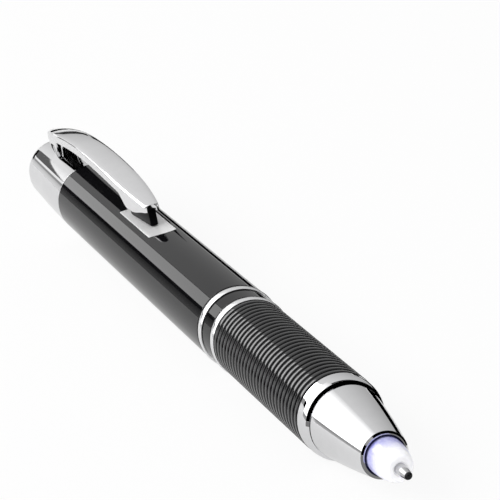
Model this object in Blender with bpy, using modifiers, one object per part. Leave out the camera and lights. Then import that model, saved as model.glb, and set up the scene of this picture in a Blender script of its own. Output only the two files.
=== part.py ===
"""Light-up twist ballpoint pen, lying along X with its writing tip toward +X and its clip up.

Stations are counted in millimetres from the writing tip toward the cap, and heights from the pen's axis.
"""
import math

import bmesh
import bpy
from mathutils import Matrix, Vector

# Units and facets
MM = 0.001
SIDES = 24
MERGE = 0.000001

# Clearances
FIT = 0.2
SNUG = 0.1
GAP = 0.3
SLEEVE_ROOM = 0.15

# Writing point and refill
BALL_RADIUS = 0.42
BALL_SHOWN = 0.30
BALL_SEGMENTS = 12
BALL_RINGS = 8
POINT_TIP_RADIUS = 0.52
POINT_RADIUS = 0.70
POINT_NOSE_LENGTH = 7.0
POINT_CONE_LENGTH = 2.6
POINT_STUB_LENGTH = 3.0
REFILL_RADIUS = 1.15
REFILL_WALL = 0.30
REFILL_LENGTH = 56.0

# Lens and nose
POINT_REACH = 2.5
LENS_REACH = 4.5
LENS_FRONT_RADIUS = 1.30
LENS_RADIUS = 2.30
LENS_NECK_LENGTH = 4.4
LENS_SHANK_LENGTH = 7.5
LENS_FLANGE_LENGTH = 1.5
LENS_ARC_STEPS = 4
RIM_WALL = 0.33
NOSE_LENGTH = 14.4
NOSE_CONE_LENGTH = 11.5
NOSE_STEP = 0.56
NOSE_BULGE = 0.10
NOSE_FILLET = 0.35
COLLAR_ROUND = 0.55
COLLAR_ROUND_STEPS = 3
SPIGOT_LENGTH = 6.0
SPIGOT_WALL = 0.95
BOARD_THICKNESS = 1.0
LED_DEPTH = 0.9
LED_WIDTH = 1.6
LED_HEIGHT = 1.2

# Grip, rings and band
GRIP_LENGTH = 29.9
GRIP_WALL = 0.69
RIB_DEPTH = 0.32
RIBS = 27
RING_WIDTH = 1.15
RING_PROUD = 0.11
BAND_LENGTH = 2.7
BAND_WALL = 0.72

# Barrel and cells
BARREL_LENGTH = 67.8
BARREL_WALL = 0.91
BARREL_SPIGOT_RADIAL_STEP = 0.41
CELL_RADIUS = 3.95
CELL_THICKNESS = 3.6
CELL_RIM = 0.35
CELLS = 3
SLEEVE_WALL = 0.30
STOP_THICKNESS = 1.2
ROD_RADIUS = 0.8
BATTERY_SPRING_LENGTH = 4.3
BATTERY_SPRING_RADIUS = 2.2
BATTERY_SPRING_TURNS = 3
SPRING_WIRE_RADIUS = 0.22
COIL_POINTS = 9

# Twist mechanism
BEARING_LENGTH = 7.9
CAM_LEAD_IN = 3.0
CAM_LEAD_OUT = 3.0
TRAVEL = 5.0
TWIST = math.pi
SLOT_STEPS = 18
SLOT_RUN_OUT_STEPS = 2
PIN_RADIUS = 0.45
CARRIER_WALL = 0.9
CARRIER_LENGTH = 9.0
CARRIER_TAIL = 3.0
SOCKET_DEPTH = 5.0
GUIDE_WALL = 0.3
GUIDE_OVERLAP = 12.0
GUIDE_TAIL = 1.5
RETAINER_WALL = 0.9
RETAINER_WIDTH = 0.8
SLIP_THICKNESS = 0.8
LINER_FRONT_CLEARANCE = 0.85

# Cap, switch and button
CAP_LENGTH = 21.0
CAP_SPIGOT_LENGTH = 3.6
CAP_SLOT_FLOOR = 0.3
CAP_END_WALL = 4.4
CAP_END_ROUND = 1.6
CAP_END_ROUND_STEPS = 4
SWITCH_LENGTH = 8.7
SWITCH_NUB_LENGTH = 0.6
SWITCH_NUB_RADIUS = 0.8
BUTTON_RADIUS = 2.3
BUTTON_FLANGE_LENGTH = 1.2
BUTTON_PROUD = 0.8
BUTTON_CHAMFER = 0.4
BUTTON_ROD_RADIUS = 1.0
BUTTON_TRAVEL = 1.2
BUTTON_SPRING_RADIUS = 2.2
BUTTON_SPRING_TURNS = 4

# Inlay plate under the clip's foot
PLATE_LEAD = 4.6
PLATE_LENGTH = 14.7
PLATE_WIDTH = 3.95
PLATE_PROUD = 0.09
PLATE_THICKNESS = 0.45

# Clip
CLIP_SETBACK = 3.3
CLIP_LENGTH = 53.0
CLIP_TIP_RISE = 2.89
CLIP_CROWN_RISE = 4.89
CLIP_ROOT_RISE = 1.69
CLIP_CROWN_SHARE = 0.48
CLIP_ARCH_POWER = 2
CLIP_PLAN_POWER = 4
CLIP_THICKNESS = 1.1
CLIP_HALF_WIDTH = 2.05
CLIP_TIP_HALF_WIDTH = 1.1
CLIP_ROOT_HALF_WIDTH = 0.9
CLIP_STEPS = 14
FOOT_FRONT = 1.8
FOOT_LENGTH = 6.2
FOOT_FLAT = 1.6
TONGUE_HALF_WIDTH = 1.2
TONGUE_LENGTH = 2.6
CLIP_PIN_SETBACK = 11.4
CLIP_PIN_RADIUS = 0.35
CLIP_PIN_HALF_LENGTH = 2.0
CLIP_PIN_DEPTH = 1.01
TONGUE_BELOW_PIN = 0.7
SLOT_FLOOR_GAP = 0.25

# Radii worked out from the cells outward
sleeve_bore = CELL_RADIUS + SNUG
sleeve_radius = sleeve_bore + SLEEVE_WALL
barrel_bore = sleeve_radius + SLEEVE_ROOM
barrel_radius = barrel_bore + BARREL_WALL
barrel_spigot_radius = barrel_radius - BARREL_SPIGOT_RADIAL_STEP
ring_radius = barrel_radius + RING_PROUD
liner_radius = barrel_bore - FIT
grip_bore = liner_radius + FIT
grip_radius = grip_bore + GRIP_WALL
lower_ring_radius = grip_radius + RING_PROUD
band_radius = grip_bore + BAND_WALL
collar_radius = grip_radius - SNUG / 2
nose_cone_radius = collar_radius - NOSE_STEP
plate_radius = barrel_radius + PLATE_PROUD
clip_pin_height = barrel_radius - CLIP_PIN_DEPTH
clip_slot_floor = clip_pin_height - TONGUE_BELOW_PIN - SLOT_FLOOR_GAP
cap_bore = clip_slot_floor - CAP_SLOT_FLOOR
button_flange_radius = cap_bore - FIT
foot_height = plate_radius + GAP
clip_tip_height = barrel_radius + CLIP_TIP_RISE
clip_crown_height = barrel_radius + CLIP_CROWN_RISE
clip_root_height = barrel_radius + CLIP_ROOT_RISE

# Radii worked out from the refill outward
point_bore = POINT_RADIUS + FIT
lens_rear_bore = REFILL_RADIUS + GAP
nose_bore = LENS_RADIUS + FIT
rim_radius = nose_bore + RIM_WALL
spigot_bore = liner_radius - SPIGOT_WALL
liner_front_radius = spigot_bore - FIT
liner_front_bore = REFILL_RADIUS + LINER_FRONT_CLEARANCE
carrier_bore = REFILL_RADIUS + SNUG
carrier_radius = carrier_bore + CARRIER_WALL
guide_bore = carrier_radius + FIT
guide_radius = guide_bore + GUIDE_WALL
cam_bore = guide_radius + FIT
cam_radius = barrel_bore - FIT
liner_bore = guide_radius + FIT
pin_slot_radius = PIN_RADIUS + GAP
lens_flange_radius = spigot_bore - FIT
led_radius = (lens_rear_bore + lens_flange_radius) / 2

# Stations worked out from the tip
lens_front = POINT_REACH
rim = lens_front + LENS_REACH
collar_back = rim + NOSE_LENGTH
grip_front = collar_back + GAP
grip_back = grip_front + GRIP_LENGTH
lower_ring_front = grip_back + GAP
band_front = lower_ring_front + RING_WIDTH + GAP
upper_ring_front = band_front + BAND_LENGTH + GAP
barrel_front = upper_ring_front + RING_WIDTH + GAP
barrel_back = barrel_front + BARREL_LENGTH
cap_front = barrel_back + GAP
cap_back = cap_front + CAP_LENGTH
overall = cap_back + BUTTON_PROUD
lens_flange_front = rim + LENS_SHANK_LENGTH
lens_back = lens_flange_front + LENS_FLANGE_LENGTH
led_front = lens_back + GAP
board_front = led_front + LED_DEPTH + GAP
liner_front = board_front + BOARD_THICKNESS + GAP
spigot_back = collar_back + SPIGOT_LENGTH
liner_back = barrel_front + BEARING_LENGTH
cam_front = liner_back + GAP
cam_back = cam_front + CAM_LEAD_IN + TRAVEL + CAM_LEAD_OUT
pin_station = cam_front + CAM_LEAD_IN
guide_front = liner_back - GUIDE_OVERLAP
guide_back = cam_back + GUIDE_TAIL
slip_front = guide_back + GAP
carrier_back = pin_station + CARRIER_TAIL
carrier_front = carrier_back - CARRIER_LENGTH
refill_back = carrier_front + SOCKET_DEPTH - GAP
refill_front = refill_back - REFILL_LENGTH
switch_front = cap_front - CAP_SPIGOT_LENGTH
switch_back = switch_front + SWITCH_LENGTH
battery_spring_back = switch_front - GAP
cell_back = battery_spring_back - BATTERY_SPRING_LENGTH - GAP
cell_pitch = CELL_THICKNESS + GAP
cell_front = cell_back - CELLS * cell_pitch + GAP
stop_front = cell_front - GAP - STOP_THICKNESS
sleeve_front = stop_front - GAP
sleeve_back = switch_front - GAP
cap_bore_back = cap_back - CAP_END_WALL
flange_back = cap_bore_back - GAP
flange_front = flange_back - BUTTON_FLANGE_LENGTH
rod_front = switch_back + SWITCH_NUB_LENGTH + BUTTON_TRAVEL + GAP
clip_back = cap_back - CLIP_SETBACK
clip_front = clip_back - CLIP_LENGTH
plate_front = clip_front - PLATE_LEAD
clip_pin_station = cap_back - CLIP_PIN_SETBACK

# Place of the axis above the surface that the pen lies on
flat_share = math.cos(math.pi / SIDES)
axis_height = ring_radius * flat_share
tip_x = overall / 2


def collection(name):
    """Returns a new collection of the scene."""
    made = bpy.data.collections.new(name)
    bpy.context.scene.collection.children.link(made)
    return made


def material(name, colour, roughness, metallic):
    """Returns a plain surface of one colour."""
    made = bpy.data.materials.new(name)
    made.use_nodes = True
    shader = made.node_tree.nodes["Principled BSDF"]
    shader.inputs["Base Color"].default_value = (*colour, 1.0)
    shader.inputs["Roughness"].default_value = roughness
    shader.inputs["Metallic"].default_value = metallic
    return made


def place(station, height=0.0, side=0.0):
    """Returns the model's point at a station, a height above the axis and a distance to the side."""
    return Vector(((tip_x - station) * MM, side * MM, (axis_height + height) * MM))


def keep(made, finish):
    """Puts a finished object among the parts and gives it its surface."""
    name = made.name
    colour, roughness, metallic = finish
    made.data.materials.clear()
    made.data.materials.append(material(name, colour, roughness, metallic))
    parts.objects.link(made)
    return made


def hide(made):
    """Puts a cutter or a guide among the cutters, out of sight."""
    made.hide_render = True
    made.display_type = "WIRE"
    cutters.objects.link(made)
    return made


def turned(name, outer, bore=None):
    """Returns a turned object; outer and bore list (station, radius) from the tip toward the cap."""
    mesh = bpy.data.meshes.new(name)
    shape = bmesh.new()
    first = outer[0][0]
    turn = math.pi / SIDES
    loop = list(reversed(outer))
    if bore:
        loop += bore
    else:
        loop = [(outer[-1][0], 0.0)] + loop + [(first, 0.0)]
    corners = []
    for station, radius in loop:
        across = radius * MM * math.cos(turn)
        along = radius * MM * math.sin(turn)
        corners.append(shape.verts.new((across, along, (station - first) * MM)))
    for here, after in zip(corners, corners[1:]):
        shape.edges.new((here, after))
    if bore:
        shape.edges.new((corners[-1], corners[0]))
    shape.to_mesh(mesh)
    shape.free()
    made = bpy.data.objects.new(name, mesh)
    made.location = place(first)
    made.rotation_euler = (0.0, -math.pi / 2, 0.0)
    screw = made.modifiers.new("Turn", "SCREW")
    screw.axis = "Z"
    screw.angle = 2 * math.pi
    screw.steps = SIDES
    screw.render_steps = SIDES
    screw.use_merge_vertices = True
    screw.merge_threshold = MERGE
    screw.use_smooth_shade = True
    return made


def tube(name, front, back, radius, bore):
    """Returns a plain tube between two stations."""
    return turned(name, [(front, radius), (back, radius)], [(front, bore), (back, bore)])


def rod(name, front, back, radius):
    """Returns a plain round rod between two stations."""
    return turned(name, [(front, radius), (back, radius)])


def block(name, front, back, low, high, half_width, side=0.0):
    """Returns a box between two stations and two heights."""
    mesh = bpy.data.meshes.new(name)
    shape = bmesh.new()
    bmesh.ops.create_cube(shape, size=1.0)
    size = Vector(((back - front) * MM, 2 * half_width * MM, (high - low) * MM))
    bmesh.ops.scale(shape, vec=size, verts=shape.verts)
    shape.to_mesh(mesh)
    shape.free()
    made = bpy.data.objects.new(name, mesh)
    made.location = place((front + back) / 2, (low + high) / 2, side)
    return made


def cross_pin(name, station, height, radius, half_length):
    """Returns a round pin that lies across the pen."""
    mesh = bpy.data.meshes.new(name)
    shape = bmesh.new()
    bmesh.ops.create_cone(
        shape, cap_ends=True, segments=SIDES // 2, radius1=radius * MM, radius2=radius * MM,
        depth=2 * half_length * MM)
    shape.to_mesh(mesh)
    shape.free()
    made = bpy.data.objects.new(name, mesh)
    made.location = place(station, height)
    made.rotation_euler = (math.pi / 2, 0.0, 0.0)
    return made


def solid_of_curve(name, curve, frame):
    """Returns a closed mesh object made from a curve that is then removed."""
    holder = bpy.data.objects.new(name + "_curve", curve)
    cutters.objects.link(holder)
    holder.matrix_world = frame
    graph = bpy.context.evaluated_depsgraph_get()
    mesh = bpy.data.meshes.new_from_object(holder.evaluated_get(graph))
    mesh.name = name
    shape = bmesh.new()
    shape.from_mesh(mesh)
    bmesh.ops.remove_doubles(shape, verts=shape.verts, dist=MERGE)
    bmesh.ops.recalc_face_normals(shape, faces=shape.faces)
    shape.to_mesh(mesh)
    shape.free()
    made = bpy.data.objects.new(name, mesh)
    made.matrix_world = frame
    bpy.data.objects.remove(holder)
    return made


def plate_of_outline(name, outline, half_thickness, frame):
    """Returns a flat plate of an outline of (x, y) in millimetres, thick along the frame's Z."""
    curve = bpy.data.curves.new(name, "CURVE")
    curve.dimensions = "2D"
    curve.fill_mode = "BOTH"
    curve.extrude = half_thickness * MM
    spline = curve.splines.new("POLY")
    spline.points.add(len(outline) - 1)
    for point, (across, along) in zip(spline.points, outline):
        point.co = (across * MM, along * MM, 0.0, 1.0)
    spline.use_cyclic_u = True
    return solid_of_curve(name, curve, frame)


def wire(name, points, radius):
    """Returns a curve object: one unbroken round wire through points of the model."""
    curve = bpy.data.curves.new(name, "CURVE")
    curve.dimensions = "3D"
    curve.bevel_depth = radius * MM
    curve.bevel_resolution = 1
    curve.use_fill_caps = True
    spline = curve.splines.new("POLY")
    spline.points.add(len(points) - 1)
    for point, spot in zip(spline.points, points):
        point.co = (*spot, 1.0)
    return bpy.data.objects.new(name, curve)


def coil_points(front, back, radius, turns):
    """Returns the points of a coil round the axis between two stations."""
    count = turns * COIL_POINTS
    points = []
    for step in range(count + 1):
        angle = 2 * math.pi * step / COIL_POINTS
        station = front + (back - front) * step / count
        points.append(place(station, radius * math.sin(angle), radius * math.cos(angle)))
    return points


def coil(name, front, back, radius, turns):
    """Returns a coil spring that fills the room between two stations, and prints its least gap."""
    low = front + SPRING_WIRE_RADIUS
    high = back - SPRING_WIRE_RADIUS
    pitch = (high - low) / turns
    print(name, "least gap between turns in mm:", round(pitch - 2 * SPRING_WIRE_RADIUS, 2))
    return wire(name, coil_points(low, high, radius, turns), SPRING_WIRE_RADIUS)


def boolean(target, tool, operation):
    """Adds a Boolean of one object on another."""
    step = target.modifiers.new(operation.title(), "BOOLEAN")
    step.operation = operation
    step.solver = "EXACT"
    step.object = tool
    return step


def quarter_round(station, radius, size, steps, toward_cap):
    """Returns points of a quarter round that ends a turned edge toward the cap or toward the tip."""
    sign = 1.0 if toward_cap else -1.0
    points = []
    for step in range(steps + 1):
        angle = math.pi / 2 * step / steps
        along = station - sign * size * (1.0 - math.sin(angle))
        points.append((along, radius - size * (1.0 - math.cos(angle))))
    return points if toward_cap else points[::-1]


# Surfaces as colour, roughness and metallic value
CHROME = ((0.86, 0.86, 0.87), 0.08, 1.0)
BLACK_LACQUER = ((0.012, 0.012, 0.014), 0.10, 0.0)
BLACK_RUBBER = ((0.03, 0.03, 0.032), 0.35, 0.0)
WHITE_PLASTIC = ((0.80, 0.80, 0.78), 0.45, 0.0)
FROSTED = ((0.90, 0.90, 0.97), 0.25, 0.0)
STEEL = ((0.62, 0.62, 0.63), 0.25, 1.0)
BRASS = ((0.78, 0.57, 0.25), 0.30, 1.0)
BOARD_GREEN = ((0.05, 0.25, 0.10), 0.50, 0.0)
RED_LED = ((0.80, 0.06, 0.05), 0.20, 0.0)
INK_TUBE = ((0.75, 0.60, 0.30), 0.30, 1.0)
DARK_STEEL = ((0.20, 0.20, 0.21), 0.30, 1.0)


def make_writing_point():
    """Makes the ball, the point, the refill and what carries them."""
    ball_mesh = bpy.data.meshes.new("writing_ball")
    shape = bmesh.new()
    bmesh.ops.create_uvsphere(
        shape, u_segments=BALL_SEGMENTS, v_segments=BALL_RINGS, radius=BALL_RADIUS * MM)
    shape.to_mesh(ball_mesh)
    shape.free()
    ball = bpy.data.objects.new("writing_ball", ball_mesh)
    ball.location = place(BALL_RADIUS)
    keep(ball, DARK_STEEL)
    seat = 2 * BALL_RADIUS + SNUG
    nose_back = BALL_SHOWN + POINT_NOSE_LENGTH
    cone_back = nose_back + POINT_CONE_LENGTH
    stub_radius = REFILL_RADIUS - REFILL_WALL - SNUG
    stub_back = refill_front + POINT_STUB_LENGTH
    outer = [
        (BALL_SHOWN, POINT_TIP_RADIUS), (POINT_REACH / 2, POINT_RADIUS), (nose_back, POINT_RADIUS),
        (cone_back, REFILL_RADIUS), (refill_front - GAP, REFILL_RADIUS),
        (refill_front - GAP, stub_radius), (stub_back, stub_radius)]
    socket_radius = BALL_RADIUS + SNUG / 2
    point = turned("refill_point", outer)
    cup = hide(turned("ball_cup", [(BALL_SHOWN - GAP, socket_radius), (seat, socket_radius)]))
    boolean(point, cup, "DIFFERENCE")
    keep(point, STEEL)
    ink = tube("refill_tube", refill_front, refill_back, REFILL_RADIUS, REFILL_RADIUS - REFILL_WALL)
    keep(ink, INK_TUBE)
    make_carrier()


def make_carrier():
    """Makes the carrier with its socket, and the cross pin that follows the cam."""
    socket_back = carrier_front + SOCKET_DEPTH
    carrier = turned(
        "refill_carrier",
        [(carrier_front, carrier_radius), (carrier_back, carrier_radius)])
    socket = hide(rod("carrier_socket", carrier_front - GAP, socket_back, carrier_bore))
    hole = hide(cross_pin("carrier_pin_hole", pin_station, 0.0, PIN_RADIUS + SNUG, 2 * carrier_radius))
    boolean(carrier, socket, "DIFFERENCE")
    boolean(carrier, hole, "DIFFERENCE")
    keep(carrier, WHITE_PLASTIC)
    keep(cross_pin("follower_pin", pin_station, 0.0, PIN_RADIUS, cam_radius - FIT), STEEL)


def make_nose():
    """Makes the nose cone, the lens and the lights behind it."""
    cone_back = rim + NOSE_CONE_LENGTH
    collar_front = cone_back + NOSE_FILLET
    middle = (rim + cone_back) / 2
    middle_radius = (rim_radius + nose_cone_radius) / 2 + NOSE_BULGE
    collar = quarter_round(collar_front, collar_radius, COLLAR_ROUND, COLLAR_ROUND_STEPS, False)
    outer = [(rim, rim_radius), (middle, middle_radius), (cone_back, nose_cone_radius)]
    outer += collar
    outer += [(collar_back, collar_radius), (collar_back, liner_radius), (spigot_back, liner_radius)]
    shoulder = lens_flange_front - GAP
    bore = [(rim, nose_bore), (shoulder, nose_bore), (shoulder, spigot_bore), (spigot_back, spigot_bore)]
    keep(turned("nose_cone", outer, bore), CHROME)
    lens = []
    for step in range(LENS_ARC_STEPS + 1):
        angle = math.pi / 2 * step / LENS_ARC_STEPS
        along = lens_front + LENS_REACH * (1.0 - math.cos(angle))
        lens.append((along, LENS_FRONT_RADIUS + (LENS_RADIUS - LENS_FRONT_RADIUS) * math.sin(angle)))
    lens += [(lens_flange_front, LENS_RADIUS), (lens_flange_front, lens_flange_radius),
             (lens_back, lens_flange_radius)]
    neck = lens_front + LENS_NECK_LENGTH
    lens_bore = [
        (lens_front, point_bore), (neck - FIT, point_bore), (neck, lens_rear_bore),
        (lens_back, lens_rear_bore)]
    keep(turned("light_guide", lens, lens_bore), FROSTED)
    board_back = board_front + BOARD_THICKNESS
    keep(tube("led_board", board_front, board_back, lens_flange_radius, lens_rear_bore), BOARD_GREEN)
    for name, side in (("led_left", 1.0), ("led_right", -1.0)):
        led = block(
            name, led_front, led_front + LED_DEPTH, -LED_WIDTH / 2, LED_WIDTH / 2, LED_HEIGHT / 2,
            side * led_radius)
        keep(led, RED_LED)


def make_grip():
    """Makes the liner, the ribbed grip, the lower ring and the band."""
    step_station = spigot_back + GAP
    liner = [
        (liner_front, liner_front_radius), (step_station, liner_front_radius),
        (step_station, liner_radius), (liner_back, liner_radius)]
    step_bore = guide_front - GAP
    liner_hole = [
        (liner_front, liner_front_bore), (step_bore, liner_front_bore), (step_bore, liner_bore),
        (liner_back, liner_bore)]
    keep(turned("liner", liner, liner_hole), WHITE_PLASTIC)
    pitch = GRIP_LENGTH / RIBS
    ribs = [(grip_front, grip_radius - RIB_DEPTH)]
    for rib in range(RIBS):
        crest = grip_front + (rib + 0.5) * pitch
        ribs.append((crest, grip_radius))
        ribs.append((crest + pitch / 2, grip_radius - RIB_DEPTH))
    keep(turned("grip", ribs, [(grip_front, grip_bore), (grip_back, grip_bore)]), BLACK_RUBBER)
    ring_back = lower_ring_front + RING_WIDTH
    keep(tube("lower_ring", lower_ring_front, ring_back, lower_ring_radius, grip_bore), CHROME)
    band_back = band_front + BAND_LENGTH
    keep(tube("centre_band", band_front, band_back, band_radius, grip_bore), BLACK_LACQUER)


def make_twist_mechanism():
    """Makes the guide tube with straight slots, the cam sleeve with helical slots, and their keepers."""
    guide = tube("guide_tube", guide_front, guide_back, guide_radius, guide_bore)
    slot = hide(block(
        "guide_slot", pin_station - pin_slot_radius, pin_station + TRAVEL + pin_slot_radius,
        -pin_slot_radius, pin_slot_radius, 2 * guide_radius))
    boolean(guide, slot, "DIFFERENCE")
    keep(guide, BRASS)
    cam = tube("cam_sleeve", cam_front, cam_back, cam_radius, cam_bore)
    for turn, start in (("first", 0.0), ("second", math.pi)):
        boolean(cam, hide(cam_cutter("cam_slot_" + turn, start)), "DIFFERENCE")
    keep(cam, WHITE_PLASTIC)
    retainer_front = cam_back + GAP
    keep(tube(
        "retaining_ring", retainer_front, retainer_front + RETAINER_WIDTH, guide_radius + RETAINER_WALL,
        guide_radius + SNUG), STEEL)
    keep(rod("slip_contact", slip_front, slip_front + SLIP_THICKNESS, guide_radius), BRASS)


def cam_cutter(name, start):
    """Returns the helical slot that the follower pin sweeps while the barrel is twisted."""
    middle = (cam_bore + cam_radius) / 2
    depth = cam_radius - cam_bore
    shape = bmesh.new()
    rings = []
    for step in range(-SLOT_RUN_OUT_STEPS, SLOT_STEPS + SLOT_RUN_OUT_STEPS + 1):
        share = step / SLOT_STEPS
        angle = start + TWIST * share
        centre = pin_station + TRAVEL * share
        ring = []
        for along, reach in ((-1, -1), (1, -1), (1, 1), (-1, 1)):
            radius = middle + reach * depth
            station = centre + along * pin_slot_radius
            spot = place(station, radius * math.sin(angle), radius * math.cos(angle))
            ring.append(shape.verts.new(spot))
        rings.append(ring)
    for here, after in zip(rings, rings[1:]):
        for side in range(4):
            nxt = (side + 1) % 4
            shape.faces.new((here[side], here[nxt], after[nxt], after[side]))
    shape.faces.new(rings[0][::-1])
    shape.faces.new(rings[-1])
    bmesh.ops.recalc_face_normals(shape, faces=shape.faces)
    mesh = bpy.data.meshes.new(name)
    shape.to_mesh(mesh)
    shape.free()
    return bpy.data.objects.new(name, mesh)


def make_barrel():
    """Makes the barrel, its upper ring and the inlay plate under the clip's foot."""
    spigot_front = upper_ring_front
    outer = [
        (spigot_front, barrel_spigot_radius), (barrel_front, barrel_spigot_radius),
        (barrel_front, barrel_radius), (barrel_back, barrel_radius)]
    barrel = turned("barrel", outer, [(spigot_front, barrel_bore), (barrel_back, barrel_bore)])
    pocket = hide(inlay("plate_pocket", FIT, GAP))
    boolean(barrel, pocket, "DIFFERENCE")
    keep(barrel, BLACK_LACQUER)
    ring_bore = barrel_spigot_radius + SNUG
    ring_back = upper_ring_front + RING_WIDTH
    keep(tube("upper_ring", upper_ring_front, ring_back, ring_radius, ring_bore), CHROME)
    keep(inlay("inlay_plate", 0.0, 0.0), CHROME)


def inlay(name, margin, rise):
    """Returns the curved plate, or with a margin and a rise the pocket that holds it."""
    inner = plate_radius - PLATE_THICKNESS - margin
    front = plate_front - margin
    back = plate_front + PLATE_LENGTH + margin
    shell = tube(name, front, back, plate_radius + rise, inner)
    half_width = PLATE_WIDTH / 2 + margin
    box = block(name + "_bounds", front - GAP, back + GAP, 0.0, 2 * plate_radius, half_width)
    boolean(shell, hide(box), "INTERSECT")
    return shell


def make_power():
    """Makes the cells, their sleeve and their contacts."""
    keep(tube("battery_sleeve", sleeve_front, sleeve_back, sleeve_radius, sleeve_bore), WHITE_PLASTIC)
    keep(rod("battery_stop", stop_front, stop_front + STOP_THICKNESS, CELL_RADIUS), BRASS)
    keep(rod("contact_rod", slip_front + SLIP_THICKNESS + GAP, stop_front - GAP, ROD_RADIUS), BRASS)
    for index in range(CELLS):
        front = cell_front + index * cell_pitch
        outer = [
            (front, CELL_RADIUS - 2 * CELL_RIM), (front + CELL_RIM, CELL_RADIUS - CELL_RIM),
            (front + 2 * CELL_RIM, CELL_RADIUS), (front + CELL_THICKNESS, CELL_RADIUS)]
        keep(turned("cell_%d" % (index + 1), outer), STEEL)
    spring = coil(
        "battery_spring", cell_back + GAP, battery_spring_back, BATTERY_SPRING_RADIUS,
        BATTERY_SPRING_TURNS)
    keep(spring, STEEL)


def make_cap():
    """Makes the rear cap, the switch inside it and the button at its end."""
    spigot_radius = barrel_bore - FIT
    hole = BUTTON_RADIUS + FIT
    outer = [(switch_front, spigot_radius), (cap_front, spigot_radius), (cap_front, barrel_radius)]
    outer += quarter_round(cap_back, barrel_radius, CAP_END_ROUND, CAP_END_ROUND_STEPS, True)
    bore = [(switch_front, cap_bore), (cap_bore_back, cap_bore), (cap_bore_back, hole), (cap_back, hole)]
    cap = turned("rear_cap", outer, bore)
    slot_half = TONGUE_LENGTH / 2 + GAP
    slot = hide(block(
        "clip_slot", clip_pin_station - slot_half, clip_pin_station + slot_half, clip_slot_floor,
        2 * barrel_radius, TONGUE_HALF_WIDTH + FIT))
    hole_length = CLIP_PIN_HALF_LENGTH + SNUG
    pin_hole = hide(cross_pin(
        "clip_pin_hole", clip_pin_station, clip_pin_height, CLIP_PIN_RADIUS + SNUG, hole_length))
    boolean(cap, slot, "DIFFERENCE")
    boolean(cap, pin_hole, "DIFFERENCE")
    keep(cap, CHROME)
    nub_back = switch_back + SWITCH_NUB_LENGTH
    switch_radius = cap_bore - FIT
    housing = [
        (switch_front, switch_radius), (switch_back, switch_radius), (switch_back, SWITCH_NUB_RADIUS),
        (nub_back, SWITCH_NUB_RADIUS)]
    keep(turned("switch_housing", housing), BLACK_RUBBER)
    button = [
        (rod_front, BUTTON_ROD_RADIUS), (flange_front, BUTTON_ROD_RADIUS),
        (flange_front, button_flange_radius), (flange_back, button_flange_radius),
        (flange_back, BUTTON_RADIUS), (overall - BUTTON_CHAMFER, BUTTON_RADIUS),
        (overall, BUTTON_RADIUS - BUTTON_CHAMFER)]
    keep(turned("light_button", button), CHROME)
    spring = coil(
        "button_spring", switch_back + GAP, flange_front - GAP, BUTTON_SPRING_RADIUS,
        BUTTON_SPRING_TURNS)
    keep(spring, STEEL)


def clip_height(share):
    """Returns the height of the clip's outer face at a share of its length from its free end."""
    if share < CLIP_CROWN_SHARE:
        rest = 1.0 - share / CLIP_CROWN_SHARE
        return clip_crown_height - (clip_crown_height - clip_tip_height) * rest ** CLIP_ARCH_POWER
    rest = (share - CLIP_CROWN_SHARE) / (1.0 - CLIP_CROWN_SHARE)
    return clip_crown_height - (clip_crown_height - clip_root_height) * rest ** CLIP_ARCH_POWER


def clip_half_width(share):
    """Returns half the clip's width at a share of its length from its free end."""
    middle = 2.0 * share - 1.0
    end = CLIP_TIP_HALF_WIDTH if middle < 0.0 else CLIP_ROOT_HALF_WIDTH
    return end + (CLIP_HALF_WIDTH - end) * (1.0 - abs(middle) ** CLIP_PLAN_POWER)


def make_clip():
    """Makes the arched clip with its foot and its tongue, and the pin that it turns on."""
    hinge = place(clip_pin_station, clip_pin_height)
    shares = [step / CLIP_STEPS for step in range(CLIP_STEPS + 1)]
    top = []
    for share in shares:
        top.append((clip_front + share * CLIP_LENGTH, clip_height(share)))
    foot_front = clip_front + FOOT_FRONT
    foot_back = foot_front + FOOT_LENGTH
    under = []
    for station, height in top:
        if station <= clip_front or station >= foot_back + GAP:
            under.append((station, height - CLIP_THICKNESS))
    foot_middle = (foot_front + foot_back) / 2
    foot_shoulder = clip_height((foot_back - clip_front) / CLIP_LENGTH) - CLIP_THICKNESS
    foot = [
        (foot_middle - FOOT_FLAT / 2, foot_height), (foot_middle + FOOT_FLAT / 2, foot_height),
        (foot_back - GAP, foot_height + CLIP_THICKNESS), (foot_back, foot_shoulder)]
    under = under[:1] + foot + under[1:]
    outline = []
    for station, height in top + under[::-1]:
        outline.append((clip_pin_station - station, height - clip_pin_height))
    upright = Matrix.Translation(hinge) @ Matrix.Rotation(math.pi / 2, 4, "X")
    clip = plate_of_outline("clip", outline, CLIP_HALF_WIDTH + GAP, upright)
    left = []
    for share in shares:
        left.append((clip_pin_station - clip_front - share * CLIP_LENGTH, clip_half_width(share)))
    right = [(along, -half) for along, half in reversed(left)]
    plan = plate_of_outline("clip_plan", left + right, 4 * clip_crown_height, Matrix.Translation(hinge))
    boolean(clip, hide(plan), "INTERSECT")
    tongue_share = (clip_pin_station - clip_front) / CLIP_LENGTH
    tongue_top = clip_height(tongue_share) - CLIP_THICKNESS / 2
    tongue = hide(block(
        "clip_tongue", clip_pin_station - TONGUE_LENGTH / 2, clip_pin_station + TONGUE_LENGTH / 2,
        clip_pin_height - TONGUE_BELOW_PIN, tongue_top, TONGUE_HALF_WIDTH))
    boolean(clip, tongue, "UNION")
    eye = hide(cross_pin(
        "clip_eye", clip_pin_station, clip_pin_height, CLIP_PIN_RADIUS + SNUG, CLIP_HALF_WIDTH))
    boolean(clip, eye, "DIFFERENCE")
    keep(clip, CHROME)
    pin = cross_pin(
        "clip_pin", clip_pin_station, clip_pin_height, CLIP_PIN_RADIUS, CLIP_PIN_HALF_LENGTH)
    keep(pin, STEEL)


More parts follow.
